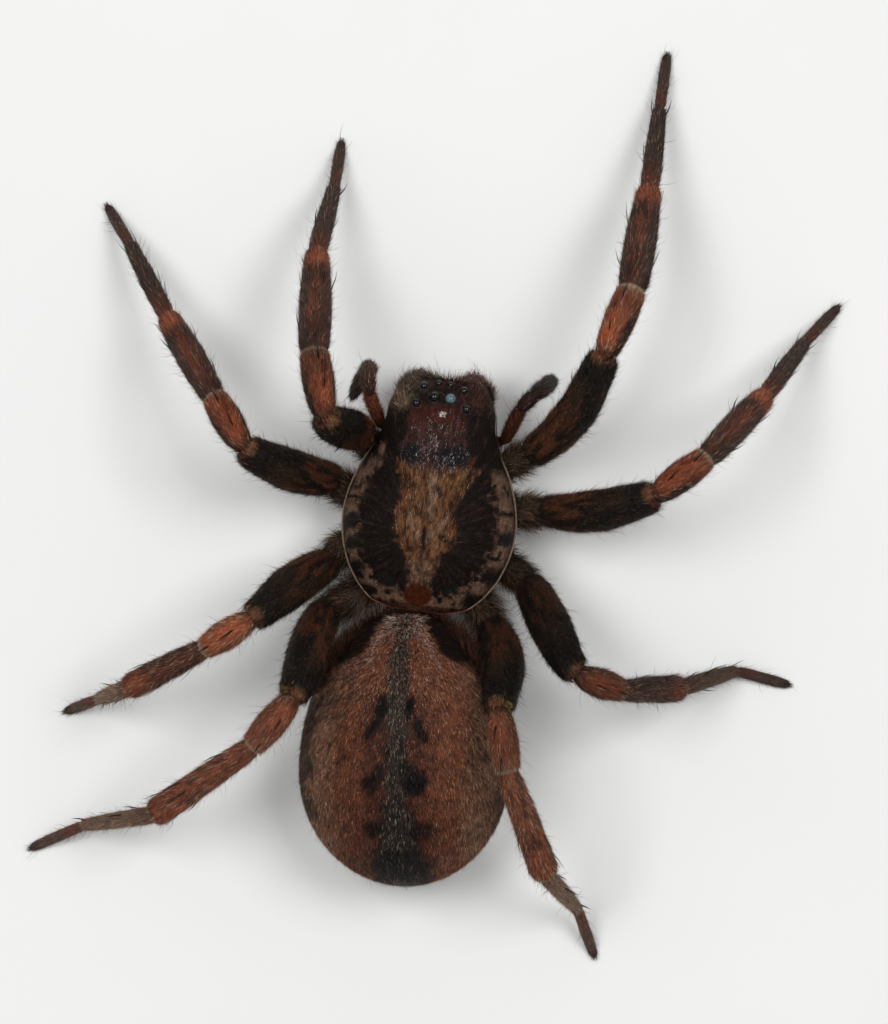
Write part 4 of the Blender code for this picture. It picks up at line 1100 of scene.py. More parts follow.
def growSpeck(weight, rings, rng):  # the small white tuft behind the eyes
    roots = rootsOn(rings, carapace["speckPerArea"], rng, weight)
    tint = filled(roots["place"], shellInk["speck"])
    lie = filled(roots["place"], (0, -1.0, 0))
    style = {"length": 0.075, "spread": 0.3, "width": 0.034, "lift": 48, "liftSpread": 16, "sway": 60}
    growHair("carapace_speck", roots, lie, style, vary(tint, rng, 0.2), rng)


def growGlints(weight, rings, rng):  # thin pale hairs lying flat along the head, in wavy lines: painted highlights standing for the glints off the glossy head
    roots = rootsOn(rings, carapace["glintPerArea"], rng, weight)
    p = into(prosoma, roots["place"])
    x, y = p[:, 0], p[:, 1]
    lie = np.stack([0.10 * x + 0.7 * (cloud(p, 0.25, 71) - 0.5), -np.ones(len(x)), np.zeros(len(x))], -1)
    style = {"length": 0.10, "spread": 0.40, "width": 0.019, "lift": 12, "liftSpread": 6, "sway": 10}
    tint = filled(p, shellInk["glintLavender"] * 0.42)
    # painted highlight: more of the glints fully pale near the middle of the head
    bright = spot(x, y, (0.05, -1.95), (0.42, 1.0), 0, 0.6) + spot(x, y, (-0.55, -1.55), (0.6, 0.35), 0, 0.5)
    tint = blendTo(tint, shellInk["glintLavender"], (rng.random(len(x)) < 0.14 + 0.50 * bright) * 1.0)
    tint = blendTo(tint, shellInk["pink"], soft(y, -1.6, -1.2))
    lie = lie @ prosoma[0].T
    growHair("carapace_glints", roots, lie, style, vary(tint, rng, 0.45, 0.3), rng)


def growClypeusFuzz(rings, rng):  # hair on the steep front of the head, between the eyes and the jaws
    y, half, low, high, _ = carapaceShape[-1]
    count = carapace["clypeusHairs"]
    x = rng.uniform(-half, half, count)
    z = rng.uniform(low - 0.1, high, count) - 0.25 * (x / half) ** 2
    roots = {"place": outOf(prosoma, np.stack([x, np.full(count, y + 0.04), z], -1)),
             "normal": np.zeros((count, 3)) + np.array((0, -1.0, 0)) @ prosoma[0].T,
             "turn": 0.25 + 0.1 * x, "v": np.full(count, rowsV(rings)[-2])}
    lie = np.stack([0.4 * x, np.zeros(count), z - 0.95], -1) @ prosoma[0].T
    tint = np.zeros((count, 3)) + shellInk["cheek"] * 0.6
    tint = blendTo(tint, shellInk["olive"], (rng.random(count) < 0.25) * 0.8)
    style = {"length": 0.26, "spread": 0.40, "width": 0.013, "lift": 48, "liftSpread": 16, "sway": 30,
             "bent": True}
    growHair("clypeus_fuzz", roots, lie, style, vary(tint, rng, 0.4, 0.3), rng)


def makeCarapace():
    rng = np.random.default_rng(31)
    local = carapaceRings()
    overCount = carapace["over"] + 1
    tint = shellColour(local[..., 0], local[..., 1], local[..., 2], 0.7)[0]
    tint[:, overCount:] = shellInk["black"] * 0.9
    rings = outOf(prosoma, local)
    addSkin("carapace_shell", rings, tint * carapace["skinTone"], "head", ["carapace"])

    over = local[:-1, :overCount]
    weight = np.zeros((local.shape[0] - 1, local.shape[1]))
    masks = shellColour(over[..., 0], over[..., 1], over[..., 2])[2:4]
    density, middle = [mask[:, :overCount - 1] for mask in masks]
    weight[:, :overCount - 1] = density
    roots = rootsOn(rings, carapace["hairPerArea"], rng, weight)
    p = into(prosoma, roots["place"])
    x, y = p[:, 0], p[:, 1]
    palest = rng.random(len(x))
    tint, length, _, onMiddle, pale = shellColour(x, y, p[:, 2], 0.15)
    tint = blendTo(tint, shellInk["submargin"], (rng.random(len(x)) < 0.8 * pale) * 0.85 * (1 - onMiddle))
    # lengthwise on the head and band, outwards from the middle on the flanks
    flow = np.stack([0.12 * np.sign(x) * soft(np.abs(x), 0.1, 1.0), -np.ones(len(x)), np.zeros(len(x))], -1)
    radial = np.stack([x, y - 0.8, -np.abs(x) * 0.6], -1)
    back = np.stack([x * 0.3, np.ones(len(x)), np.zeros(len(x))], -1)
    onBand = np.maximum(onMiddle, 1 - soft(y, -2.6, -1.8))[:, None]
    lie = unit(flow) * onBand + unit(radial) * (1 - onBand)
    behind = soft(y, 1.0, 1.6)[:, None] * onBand
    lie = lie * (1 - behind) + unit(back) * behind
    lie = lie @ prosoma[0].T
    onThorax = onMiddle * soft(y, -1.3, -1.0)
    tint = blendTo(tint, shellInk["gold"] * 1.45, (palest < 0.20) * 0.6 * onThorax)
    tint = blendTo(tint, shellInk["pink"], (palest > 0.88) * 0.7 * onThorax)
    tint = blendTo(tint, shellInk["black"], (np.abs(palest - 0.5) < 0.16) * 0.8 * onThorax)
    tint = blendTo(tint, shellInk["black"], (rng.random(len(x)) < 0.30 * pale) * 0.8)
    style = {"length": 0.21, "spread": 0.28, "width": 0.0165, "lift": 14, "sway": 9 + 34 * pale}
    growHair("carapace_hair", roots, lie, style, vary(tint, rng, 0.36, 0.3), rng, reach=length,
             material="darkHair")

    cx, cy = over[:, :-1, 0], over[:, :-1, 1]
    front = np.maximum(1 - soft(cy, -3.85, -3.55),
                       0.7 * soft(np.abs(cx), 0.85, 1.1) * (1 - soft(cy, -3.3, -2.7)))
    fuzz = weight * 0
    fuzz[:, :overCount - 1] = front * density
    growFuzz(fuzz, rings, rng)
    # where the painted highlights grow: in lengthwise lines on the head's middle band, more near its middle
    lines = cloud(over[:, :-1] * np.array((1.0, 0.25, 1.0)), 0.07, 77)
    shine = middle * band(cy, -3.15, -1.10, 0.25) * soft(lines, 0.36, 0.62)
    glints = weight * 0
    nearMiddle = 0.35 + 0.5 * spot(cx, cy, (0.0, -1.9), (0.7, 1.0), edge=0.5)
    glints[:, :overCount - 1] = shine * nearMiddle * (density > 0.2)
    growGlints(glints, rings, rng)
    growClypeusFuzz(rings, rng)
    white = weight * 0
    white[:, :overCount - 1] = spot(cx, cy, *carapaceMarks["speck"], edge=0.2) > 0.5
    growSpeck(white, rings, rng)


def makeRim():                  # the smooth pale edge that runs round the carapace
    y = np.linspace(-3.9, 3.2, 90)
    half, rim, _, _ = shellAt(y)
    sideLine = np.stack([half - 0.02, y, rim - 0.03], -1)
    back = np.stack([np.linspace(0.9, -0.9, 14), np.full(14, 3.25), np.full(14, 0.07)], -1)
    path = np.concatenate([sideLine, back, sideLine[::-1] * np.array((-1, 1, 1))])
    lengths = np.concatenate([[0], np.cumsum(np.linalg.norm(np.diff(path, axis=0), axis=1))])
    count, sides = 320, 12
    s = np.linspace(0, lengths[-1], count)
    centre = np.stack([np.interp(s, lengths, path[:, k]) for k in range(3)], -1)
    for _ in range(6):
        centre[1:-1] = (centre[:-2] + 2 * centre[1:-1] + centre[2:]) / 4
    shade = blendTo(filled(centre, shellInk["black"]), shellInk["rim"], soft(centre[:, 1], -2.3, -1.6))
    shade = blendTo(shade, shellInk["rusty"], soft(centre[:, 1], 2.9, 3.2))
    centre = outOf(prosoma, centre)
    ahead = unit(np.gradient(centre, axis=0))
    line = {"points": centre, "lengths": s, "ahead": ahead, "side": unit(np.cross(ahead, (0, 0, 1)))}
    ends = np.minimum(np.arange(count), np.arange(count)[::-1]) / 40
    rings = tubeRings(line, s, 0.030 * soft(ends, 0.0, 1.0) + 0.004, sides)
    addSkin("carapace_rim", rings, np.repeat(shade[:, None], sides, 1), "shell")


makeCarapace()
makeRim()
print("spider: carapace done")


# Eyes

eyeInk = {"lens": ink(10, 11, 12), "tealReflection": ink(82, 104, 106)}


def makeEyes():
    for kind, (_, _, size) in eyes.items():
        for word in ("right", "left"):
            name = f"eye_{kind}_{word}"
            low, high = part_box(name)
            middle = np.array((low + high) / 2) / mm
            t = np.linspace(0.0, np.pi, 26)
            angle = turns(36)
            ring = np.stack([np.sin(t)[:, None] * np.cos(angle), np.sin(t)[:, None] * np.sin(angle),
                             np.repeat(np.cos(t)[:, None], 36, 1)], -1)
            rings = middle + size * ring[1:-1]
            # the right posterior median eye is painted teal: painted reflection from the back of the eye
            shade = eyeInk["tealReflection"] if name == "eye_posterior_median_right" else eyeInk["lens"]
            addSkin(f"lens_{kind}_{word}", rings, filled(rings, shade), "eye", [name])


makeEyes()


# Abdomen

abdomen = {
    "place": (1.02, 8.05, 3.4),
    "roll": 5.0,
    "length": 9.15,
    "width": 7.1,
    "height": 5.9,
    "widestBehindMiddle": 0.7,
    "frontDrop": 1.15,
    "rearDrop": 0.5,
    "coatDepth": 0.11,
    "rows": 150,
    "sides": 120,
    "hairPerArea": 860,
    "longPerArea": 8,
    "frontFuzzPerArea": 900,
    "skinTone": 0.30,
}
opisthosoma = bodyPlace(abdomen["place"], 0.0, abdomen["roll"])


def abdomenRings(grow, rows, sides):
    a = abdomen
    t = np.linspace(-0.99, 0.99, rows)
    centre = a["widestBehindMiddle"]
    reach = np.where(t < 0, a["length"] / 2 + centre, a["length"] / 2 - centre)
    slope = np.sin(np.abs(t) * np.pi / 2)
    y = centre + np.sign(t) * (reach + grow) * slope
    full = np.cos(t * np.pi / 2)
    drop = np.where(t < 0, -a["frontDrop"] * slope ** 3, -a["rearDrop"] * slope ** 2)
    angle = turns(sides)
    wide, tall = (a["width"] / 2 + grow) * full, (a["height"] / 2 + grow) * full
    x = wide[:, None] * np.cos(angle)
    z = drop[:, None] + tall[:, None] * np.sin(angle)
    return np.stack([x, np.repeat(y[:, None], sides, 1), z], -1)


abdomenInk = {
    "field": ink(142, 84, 58), "fieldDark": ink(96, 51, 37), "khaki": ink(60, 50, 43),
    "greyStripe": ink(52, 45, 40), "stripeHair": ink(160, 140, 122), "black": ink(18, 13, 11),
    "white": ink(206, 184, 172), "pinkHair": ink(206, 156, 134), "litFlank": ink(176, 128, 102),
    "ochre": ink(180, 130, 96), "edge": ink(78, 66, 56), "under": ink(100, 76, 62), "waist": ink(70, 44, 33),
}
abdomenSpots = (                # middle, reach, turn and strength of the black marks
    ((0.52, -1.52), (0.15, 0.36), 0, 1.0),
    ((0.84, -0.80), (0.14, 0.34), -28, 0.95),
    ((0.66, -1.10), (0.12, 0.16), 0, 0.8),
    ((-0.40, -1.52), (0.13, 0.36), 0, 1.0),
    ((-0.78, -0.78), (0.14, 0.42), 28, 1.0),
    ((-0.19, -0.28), (0.10, 0.24), 0, 0.8),
    ((0.34, -0.10), (0.10, 0.26), 0, 0.5),
    ((0.86, 0.95), (0.26, 0.32), -10, 0.9),
    ((0.52, 0.55), (0.20, 0.26), -20, 0.8),
    ((-0.58, 0.96), (0.34, 0.34), 14, 1.0),
    ((-0.26, 0.44), (0.16, 0.26), 10, 0.8),
    ((0.82, 2.45), (0.26, 0.28), -10, 0.85),
    ((-0.78, 2.55), (0.34, 0.26), 10, 0.85),
    ((0.0, 3.7), (0.95, 0.55), 0, 0.75),
)


def abdomenColour(x, y, z):
    # base colour, share of white hairs, of pinkish ones and of the stripe's pale ones
    places = np.stack([x, y, z], -1)
    broad = cloud(places, 0.55, 12)
    mottle = cloud(places, 0.20, 14)
    speckle = cloud(places, 0.09, 41)
    fine = cloud(places * np.array((1.0, 0.5, 1.0)), 0.055, 16)
    c = abdomenInk
    base = filled(places, c["field"])
    base = blendTo(base, c["fieldDark"], 0.6 * soft(mottle, 0.55, 0.8) + 0.2 * soft(broad, 0.5, 0.8))
    base = blendTo(base, c["fieldDark"], 0.85 * (1 - soft(np.abs(x), 0.6, 1.5)) * band(y, -1.9, 3.6, 0.5))
    base = blendTo(base, c["fieldDark"], 0.35 * soft(y, 1.5, 3.5))
    out = np.abs(x) + 0.5 * (broad - 0.5)
    sideward = soft(out, 1.7, 2.7)
    # the right half painted lighter: painted light
    base = base * (1 + 0.26 * soft(-x, 0.5, 1.4))[..., None]
    # paler flanks: their own tan colour, painted brighter to make up for the shade on the sloping sides, so
    # partly painted light
    base = blendTo(base, c["litFlank"], 0.8 * sideward)
    base = blendTo(base, c["ochre"], 0.4 * sideward * soft(mottle, 0.5, 0.7))
    base = blendTo(base, c["edge"], 0.7 * sideward * soft(speckle, 0.6, 0.75))
    # darker round the outer edge, where the body turns under: painted shade
    base = blendTo(base, c["edge"] * 0.8,
                   0.9 * soft(out + 0.15 * (x > 0) + 0.6 * (mottle - 0.5), 2.85, 3.25))
    side = soft(x, 0.9, 1.6) * band(y, -3.2, -1.0, 0.5)
    base = blendTo(base, c["edge"] * 0.8, 0.75 * side * soft(mottle + 0.4 * (broad - 0.5), 0.35, 0.65))
    base = blendTo(base, c["black"], 0.8 * soft(speckle, 0.78, 0.86))
    base = blendTo(base, c["under"], soft(-z, 0.4, 1.6))
    stripeHalf = np.interp(y, (-4.3, -3.0, -2.0, -1.5, -0.8, 0.0, 0.8, 1.5, 2.3, 3.0, 3.8, 4.4),
                           (0.18, 0.30, 0.34, 0.42, 0.42, 0.32, 0.42, 0.44, 0.60, 0.70, 0.90, 1.0))
    ragged = 0.34 * (mottle - 0.5) + 0.24 * (speckle - 0.5)
    stripe = soft(stripeHalf - np.abs(x) + ragged, -0.18, 0.18) * (z > -0.6)
    stripeInk = blendTo(filled(places, c["khaki"]), c["greyStripe"], soft(y, -0.9, 1.0))
    base = blendTo(base, stripeInk, 0.95 * stripe)
    dark = np.zeros(x.shape)
    for middle, reach, turn, strength in abdomenSpots:
        mark = spot(x + 0.5 * ragged, y + 0.4 * ragged, middle, (reach[0] * 1.2, reach[1] * 1.1), turn, 0.36)
        dark = np.maximum(dark, strength * mark * (z > 0))
    base = blendTo(base, c["black"], dark)
    inner = np.interp(y, (-4.6, -4.15, -3.33, -2.8), (0.42, 0.64, 1.22, 2.0)) + 0.3 * (mottle - 0.5)
    shoulder = soft(np.abs(x) - inner, -0.14, 0.14) * (1 - soft(y, -3.1, -2.5))
    shoulder = shoulder * (1 - 0.5 * soft(np.abs(x), 2.1, 2.7))
    base = blendTo(base, c["black"], 0.97 * shoulder * soft(z, -2.2, -1.2))
    arms = np.maximum(lineMask(x, y, (0.45, -4.25), (1.05, -3.1), 0.13),
                      lineMask(x, y, (-0.45, -4.25), (-1.2, -2.9), 0.13))
    tuft = (1 - soft(np.abs(x), 0.40, 0.66)) * (1 - soft(y, -3.95, -3.6))
    base = blendTo(base, c["fieldDark"] * 0.5, 0.6 * tuft * (1 - soft(z, 2.2, 2.6)))
    white = (0.34 * tuft + 0.26 * arms) * (1 - 0.3 * stripe)
    frontward = soft(-y, 0.6, 2.6)
    pink = (0.13 + 0.26 * frontward) * (1 - stripe) * (1 - shoulder) * (1 - 0.5 * sideward) + 0.3 * arms
    khaki = stripe * np.interp(y, (-1.0, 0.5, 3.0), (0.42, 0.34, 0.24)) * (1 - soft(np.abs(x), 0.4, 0.8))
    plain = 1 - dark.clip(0, 1)
    return base * (0.40 + 1.2 * fine)[..., None], white.clip(0, 1), (pink * plain).clip(0, 1), khaki * plain


def makeAbdomen():
    rng = np.random.default_rng(57)
    local = abdomenRings(-abdomen["coatDepth"], abdomen["rows"], abdomen["sides"])
    tint = abdomenColour(local[..., 0], local[..., 1], local[..., 2])[0]
    rings = outOf(opisthosoma, local)
    addSkin("abdomen_skin", rings, tint * abdomen["skinTone"], "skin", ["abdomen"])
    angle = turns(abdomen["sides"])
    weight = np.ones((len(local) - 1, abdomen["sides"])) * (1 - 0.7 * soft(-np.sin(angle), 0.1, 0.7))
    roots = rootsOn(rings, abdomen["hairPerArea"], rng, weight)
    p = into(opisthosoma, roots["place"])
    tint, white, pink, khaki = abdomenColour(p[:, 0], p[:, 1], p[:, 2])
    draw = rng.random(len(p))
    tint = blendTo(tint, abdomenInk["white"], (draw < white) * 0.95)
    tint = blendTo(tint, abdomenInk["pinkHair"], ((draw >= white) & (draw < white + pink)) * 0.5)
    tint = blendTo(tint, abdomenInk["stripeHair"], ((draw >= white) & (draw < white + khaki)) * 0.75)
    lie = np.stack([0.16 * p[:, 0] / 3, np.ones(len(p)), np.zeros(len(p))], -1)
    style = {"length": 0.18, "spread": 0.30, "width": 0.0152, "lift": 24, "liftSpread": 9, "sway": 12}
    growHair("abdomen_hair", roots, unit(lie), style, vary(tint, rng, 0.58, 0.3), rng,
             reach=1 + 0.5 * soft(-p[:, 1], 3.2, 4.2))
    roots = rootsOn(rings, abdomen["longPerArea"], rng, weight)
    tint = filled(roots["place"], abdomenInk["edge"])
    style = {**longHair, "length": 0.34, "droop": 14}
    growHair("abdomen_long_hair", roots, roots["ahead"], style, vary(tint, rng), rng,
             material="bristle")
    # raised fuzz on the front, over the narrow waist, and on the shoulders beside the hind legs
    ly, lz = local[:-1, :, 1], local[:-1, :, 2]
    front = weight * (1 - soft(ly, -3.6, -3.2)) * band(lz, -2.0, -0.95, 0.2)
    sides = weight * soft(np.abs(np.cos(angle)), 0.86, 0.95) * band(ly, -3.7, -2.0, 0.3)
    roots = rootsOn(rings, abdomen["frontFuzzPerArea"], rng, np.maximum(front, 0.7 * sides))
    ahead = filled(roots["place"], (0, -1.0, 0.35))
    tint = filled(roots["place"], abdomenInk["waist"] * 0.8)
    style = {"length": 0.58, "spread": 0.35, "width": 0.015, "lift": 46, "liftSpread": 14, "sway": 24,
             "bent": True}
    growHair("abdomen_front_fuzz", roots, ahead, style, vary(tint, rng, 0.4), rng)


makeAbdomen()
print("spider: abdomen done")


# Core with sternum and lip, pedicel, spinnerets

underInk = {"brown": ink(104, 78, 60), "dark": ink(60, 44, 36)}


def plainCoat(name, rings, perArea, style, colour, rng, lie=None):
    roots = rootsOn(rings, perArea, rng)
    tint = vary(filled(roots["place"], colour), rng, 0.3)
    lie = roots["ahead"] if lie is None else filled(roots["place"], lie)
    growHair(name, roots, lie, style, tint, rng)


def speckled(rings, colour, darker, seed):
    tone = cloud(rings, 0.22, seed)
    return blendTo(filled(rings, colour), darker, soft(tone, 0.35, 0.75))


shortCoat = {"length": 0.26, "spread": 0.25, "width": 0.028, "lift": 24, "sway": 14}


def makeCore():
    rng = np.random.default_rng(71)
    t = np.linspace(0, 1, 40)
    back, front, half, top, bottom, crown = 2.15, -1.95, 1.12, -0.26, -1.06, 0.25
    y = back + (front - back) * t
    width = half * np.sin(np.pi * (0.06 + 0.80 * t)) ** 0.6
    low = bottom - crown * np.sin(np.pi * t)
    middle, tall = (low + top) / 2, (top - low) / 2
    angle = turns(48)
    c, s = np.cos(angle), np.sin(angle)
    x = width[:, None] * np.sign(c) * np.abs(c) ** 0.7
    z = middle[:, None] + tall[:, None] * np.sign(s) * np.abs(s) ** 0.7
    rings = outOf(prosoma, np.stack([x, np.repeat(y[:, None], 48, 1), z], -1))
    addSkin("sternum_skin", rings, speckled(rings, underInk["brown"], underInk["dark"], 2) * 0.6, "shell",
            ["sternum"])
    plainCoat("sternum_hair", rings, 90, shortCoat, underInk["brown"], rng, lie=(0, 1, 0))
    lip = [outOf(prosoma, (0, y, z)) for y, z in ((-1.5, -1.10), (-2.1, -1.12), (-2.52, -1.05))]
    line = bentLine(lip, (0.30, 0.28, 0.24))
    s = np.linspace(0, line["lengths"][-1], 16)
    radius = through((0.27, 0.25, 0.20), np.linspace(0, 1, 16)) * np.sqrt(1 - np.linspace(0, 0.97, 16) ** 6)
    rings = tubeRings(line, s, radius, 24)
    tint = speckled(rings, underInk["dark"], underInk["dark"] * 0.5, 4)
    addSkin("lip_skin", rings, tint, "shell")
    pole = outOf(opisthosoma, (0, -abdomen["length"] / 2, -abdomen["frontDrop"]))
    start = outOf(prosoma, (0, 2.15, -0.72))
    line = bentLine([start, (start + pole) / 2, pole], (0.34, 0.28, 0.32))
    s = np.linspace(0, line["lengths"][-1], 14)
    rings = tubeRings(line, s, through((0.30, 0.25, 0.28), np.linspace(0, 1, 14)), 24)
    addSkin("pedicel_skin", rings, speckled(rings, underInk["dark"], underInk["brown"], 5) * 0.7, "skin",
            ["pedicel"])


spinnerets = (                  # place on the mound, half thickness and length
    (0.24, 0.08, -0.21, 0.19, 0.80),
    (0.31, 0.32, 0.03, 0.15, 0.72),
    (0.11, 0.32, -0.12, 0.10, 0.58),
)


def makeSpinnerets():
    rng = np.random.default_rng(83)
    mound = outOf(opisthosoma, (0, 3.50, -2.12))
    t = np.linspace(0.03, np.pi - 0.03, 24)
    angle = turns(32)
    ball = np.stack([np.sin(t)[:, None] * np.cos(angle), np.repeat(np.cos(t)[:, None], 32, 1),
                     np.sin(t)[:, None] * np.sin(angle)], -1)
    rings = mound + 0.58 * ball
    addSkin("spinneret_mound", rings, speckled(rings, underInk["brown"], underInk["dark"], 6) * 0.7, "skin",
            ["spinnerets"])
    for number, (x, y, z, girth, length) in enumerate(spinnerets):
        for side, word in ((-1, "right"), (1, "left")):
            start = mound + np.array((side * x, y, z))
            ahead = unit(np.array((side * 0.10, 0.86, -0.50)))
            line = bentLine([start, start + ahead * length / 2, start + ahead * length], (girth,) * 3)
            s = np.linspace(0, line["lengths"][-1], 18)
            f = s / s[-1]
            radius = (girth - 0.03) * (1 - 0.25 * f - 0.06 * band(f, 0.52, 0.58, 0.02))
            radius = radius * np.sqrt(1 - 0.97 * f ** 8)
            rings = tubeRings(line, s, radius, 20)
            name = f"spinneret_{number + 1}_{word}"
            tint = speckled(rings, underInk["brown"], underInk["dark"], 7)
            addSkin(name, rings, tint, "skin")
            style = {**shortCoat, "length": 0.20, "width": 0.020}
            plainCoat(f"{name}_hair", rings, 260, style, underInk["brown"], rng)


makeCore()
makeSpinnerets()
print("spider: underside done")


# Jaws and palps

jawCoat = {"depth": 0.11, "hairPerArea": 560, "bristlesPerArea": 15}
jawSpine = np.array((           # right jaw from its top down: x, y, z, half width, half depth
    (0.80, -3.66, 0.60, 0.52, 0.50),
    (0.84, -3.78, 0.38, 0.76, 0.80),
    (0.88, -3.88, 0.05, 0.83, 0.88),
    (0.88, -3.92, -0.35, 0.81, 0.86),
    (0.84, -3.92, -0.80, 0.72, 0.74),
    (0.78, -3.90, -1.20, 0.57, 0.58),
    (0.72, -3.88, -1.48, 0.36, 0.38),
))
fangLine = ((0.86, -3.98, -1.30), (0.72, -3.92, -1.66), (0.46, -3.62, -1.76), (0.22, -3.30, -1.66))
jawInk = {"shell": ink(40, 28, 23), "olive": ink(138, 120, 102), "brown": ink(158, 124, 110),
          "fang": ink(46, 22, 16)}


def makeJaw(side, word):
    rng = np.random.default_rng(91 + side)
    t = eased(40, 0.5)
    x, y, z, wide, deep = [through(jawSpine[:, k], t) for k in range(5)]
    angle = turns(40)
    px = side * (x[:, None] + (wide - jawCoat["depth"])[:, None] * np.cos(angle))
    shorter = np.where(np.sin(angle) < 0, 0.87, 1.0) if side > 0 else 1.0
    py = y[:, None] + (deep - jawCoat["depth"])[:, None] * np.sin(angle) * shorter
    roof = shellAt(np.maximum(py, carapaceShape[-1, 0]))[1] - carapace["rimThick"] - 0.08
    pz = np.minimum(z[:, None] + 0 * px, roof - 0.02 * (0.60 - z[:, None]))
    rings = outOf(prosoma, np.stack([px, py, pz], -1))
    tint = speckled(rings, jawInk["shell"], jawInk["shell"] * 0.5, 9)
    addSkin(f"chelicera_{word}_shell", rings, tint, "head", [f"chelicera_{word}"])
    fang = [outOf(prosoma, (side * x, y, z)) for x, y, z in fangLine]
    sweepSpikes(f"fang_{word}", [fang], 0.16, jawInk["fang"], "claw", sides=16, rowsEach=24)
    front = soft(-np.sin(angle), -0.3, 0.4)
    weight = np.ones((39, 40)) * (0.25 + 0.75 * front)
    roots = rootsOn(rings, jawCoat["hairPerArea"], rng, weight)
    upward = soft(roots["place"][:, 2], 2.2, 3.0)[:, None]
    tint = np.zeros(roots["place"].shape) + (jawInk["olive"] if side > 0 else jawInk["brown"])
    tint = blendTo(tint, jawInk["shell"], 0.9 * soft(cloud(roots["place"], 0.13, 5), 0.40, 0.60))
    lie = roots["ahead"] * 0.4 * (1 - upward) + np.array((0, -0.8, 0.25)) + upward * np.array((0, 0, 0.7))
    style = {"length": 0.27, "spread": 0.45, "width": 0.012, "lift": 34, "liftSpread": 12, "sway": 24,
             "bent": True}
    growHair(f"chelicera_{word}_hair", roots, lie, style, vary(tint, rng, 0.35), rng)
    bristles = {"length": 0.66, "spread": 0.3, "width": 0.011, "lift": 44, "liftSpread": 14, "sway": 18,
                "droop": 34, "bent": True}
    roots = rootsOn(rings, jawCoat["bristlesPerArea"], rng, weight * (t[:-1, None] < 0.5))
    tint = filled(roots["place"], jawInk["fang"] * 1.4)
    lie = filled(roots["place"], (0, -1.0, 0.4))
    growHair(f"chelicera_{word}_bristles", roots, lie, bristles, tint, rng, material="bristle")


palpCoat = {"depth": 0.045, "hairPerArea": 380, "longPerArea": 6, "skinTone": 0.5}
palpLengths = (2.1, 0.75, 1.1, 1.9)
palpGirths = ((0.22, 0.26, 0.25), (0.25, 0.28, 0.27), (0.27, 0.31, 0.28), (0.26, 0.28, 0.17))
# tone makes the right palp darker than the left with the same colours: painted shade
palps = {
    "palp_right": {"side": -1, "base": (2.10, -2.62), "headings": (-109.0, -128.0, -135.0, -130.0),
                   "rises": (54.0, 30.0, -66.0, -78.0), "tone": 0.36},
    "palp_left": {"side": 1, "base": (1.98, -2.64), "headings": (-62.0, -82.0, -85.0, 68.0),
                  "rises": (56.0, 42.0, -72.0, -48.0), "tone": 1.0},
}
palpInk = {"femur": ink(140, 76, 48), "tibia": ink(84, 56, 46), "end": ink(84, 66, 60),
           "pale": ink(186, 152, 134)}


def makePalp(name, palp, number):
    rng = np.random.default_rng(120 + number)
    place = outOf(prosoma, (palp["side"] * palp["base"][0], palp["base"][1], -0.30))
    corners = [outOf(prosoma, (palp["side"] * 0.62, -2.48, -0.85)), place]
    for length, heading, rise in zip(palpLengths, palp["headings"], palp["rises"]):
        place = place + direction(heading + bodyTurn, rise) * length
        corners.append(place)
    line = bentLine(corners, [0.3, 0.26] + [g[2] for g in palpGirths])
    marks = line["marks"]
    s, radius, tone = [], [], []
    pieces = [(marks[0], marks[1], (0.32, 0.33, 0.22), "femur")]
    for k, kind in enumerate(("femur", "tibia", "tibia", "end")):
        pieces.append((marks[k + 1], marks[k + 2], palpGirths[k], kind))
    for k, (low, high, girth, kind) in enumerate(pieces):
        t = eased(max(10, int((high - low) / 0.055)), 0.5)
        form = along(((0, 0.80), (0.06, 0.95), (0.2, 1.0), (0.92, 1.0), (1, 0.84)), t)
        if k == 4:
            form = along(((0, 0.8), (0.08, 1.0), (0.75, 1.0), (0.93, 0.8), (1, 0.25)), t)
        s.append(low + 0.015 + (high - low - 0.03) * t)
        radius.append(through(girth, t) * form - palpCoat["depth"])
        tone.append(np.zeros((len(t), 3)) + palpInk[kind])
    s, radius, tone = np.concatenate(s), np.concatenate(radius), np.concatenate(tone)
    rings = tubeRings(line, s, radius, 30)
    streak = 0.8 + 0.4 * cloud(rings, 0.15, 3)
    # the palp's tone, on skin and hair: painted shade of the right palp
    tint = tone[:, None] * streak[..., None] * (palpCoat["skinTone"] * palp["tone"])
    addSkin(f"{name}_skin", rings, tint, "skin", [f"{name}_base", f"{name}_end"])
    weight = np.ones((len(rings) - 1, 30)) * soft(s[:-1], marks[1] - 0.2, marks[1] + 0.2)[:, None]
    roots = rootsOn(rings, palpCoat["hairPerArea"], rng, weight)
    tint = np.stack([np.interp(roots["row"], np.arange(len(tone)), tone[:, k]) for k in range(3)], -1)
    tint = blendTo(tint, palpInk["pale"], (rng.random(len(tint)) < 0.22) * 0.7)
    style = {"length": 0.27, "spread": 0.3, "width": 0.017, "lift": 24, "sway": 12}
    growHair(f"{name}_hair", roots, roots["ahead"], style, vary(tint * palp["tone"], rng), rng)
    roots = rootsOn(rings, palpCoat["longPerArea"], rng, weight)
    tint = filled(roots["place"], palpInk["end"] * 0.6)
    growHair(f"{name}_long_hair", roots, roots["ahead"], {**longHair, "length": 0.5}, tint, rng,
             material="bristle")


for side, word in ((-1, "right"), (1, "left")):
    makeJaw(side, word)
for number, (name, palp) in enumerate(palps.items()):
    makePalp(name, palp, number)
print("spider: jaws and palps done")


# Floor, light and camera

stage = {"size": 0.6, "white": ink(246, 246, 243), "shadeWhite": ink(238, 239, 239)}
light = {
    "fill": 0.33,
    "boxes": (("left_box", (0.085, -0.03, 0.23), 0.240), ("right_box", (-0.095, -0.04, 0.22), 0.228)),
    "boxSize": 0.10,
    "aim": (0, 0, 0.003),
}


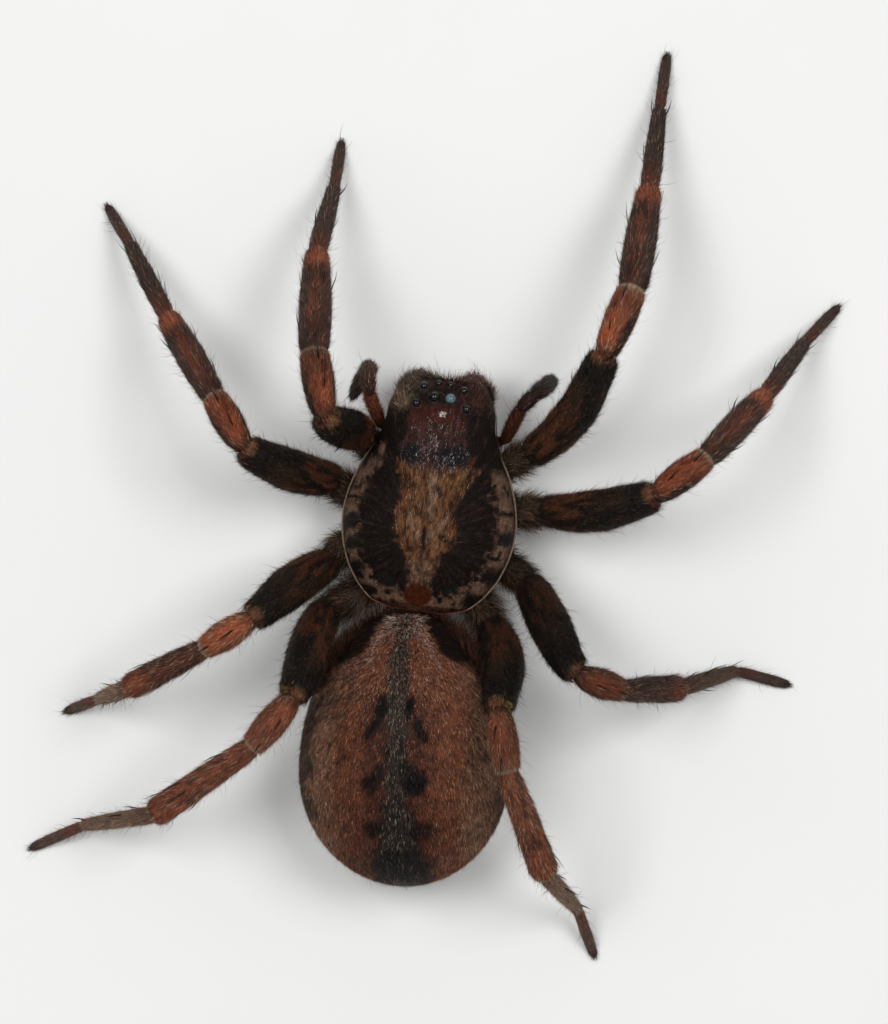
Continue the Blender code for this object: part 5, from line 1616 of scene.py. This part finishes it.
def makeFloor():
    bpy.ops.mesh.primitive_plane_add(size=stage["size"], location=(0, 0, 0))
    floor = bpy.context.object
    floor.name = "floor"
    material = bpy.data.materials.new("pale_floor")
    material.use_nodes = True
    tree = material.node_tree
    shader = tree.nodes["Principled BSDF"]
    noise = addNode(tree, "ShaderNodeTexNoise")
    noise.inputs["Scale"].default_value = 90
    noise.inputs["Detail"].default_value = 3
    where = addNode(tree, "ShaderNodeTexCoord")
    mix = addNode(tree, "ShaderNodeMix", data_type="RGBA")
    mix.inputs[6].default_value = (*stage["white"], 1)
    mix.inputs[7].default_value = (*stage["shadeWhite"], 1)
    tree.links.new(where.outputs["Object"], noise.inputs["Vector"])
    tree.links.new(noise.outputs["Fac"], mix.inputs["Factor"])
    tree.links.new(mix.outputs[2], shader.inputs["Base Color"])
    shader.inputs["Roughness"].default_value = 0.85
    shader.inputs["Specular IOR Level"].default_value = 0.2
    floor.data.materials.append(material)


def softBox(name, place, power):
    data = bpy.data.lights.new(name, "AREA")
    data.size = light["boxSize"]
    data.energy = power
    lamp = bpy.data.objects.new(name, data)
    bpy.context.scene.collection.objects.link(lamp)
    lamp.location = place
    lamp.rotation_euler = (Vector(light["aim"]) - Vector(place)).to_track_quat("-Z", "Y").to_euler()


def makeLight():
    world = bpy.data.worlds.new("studio")
    bpy.context.scene.world = world
    world.use_nodes = True
    background = world.node_tree.nodes["Background"]
    background.inputs["Color"].default_value = (1, 1, 1, 1)
    background.inputs["Strength"].default_value = light["fill"]
    for name, place, power in light["boxes"]:
        softBox(name, place, power)


def makeCamera():
    camera = bpy.data.cameras.new("camera")
    camera.lens = 262.4
    camera.clip_start = 0.01
    camera.clip_end = 10
    eye = bpy.data.objects.new("camera", camera)
    bpy.context.scene.collection.objects.link(eye)
    eye.location = (-0.00030, 0.00017, 0.250)
    eye.rotation_euler = (0, 0, math.pi)
    bpy.context.scene.camera = eye


makeFloor()
makeLight()
makeCamera()
bpy.context.scene.view_settings.view_transform = "Standard"
print("spider: stage ready")

faceCount = sum(len(o.data.polygons) for o in bpy.data.objects if o.type == "MESH" and not o.hide_render)
print("spider: faces shown", faceCount)
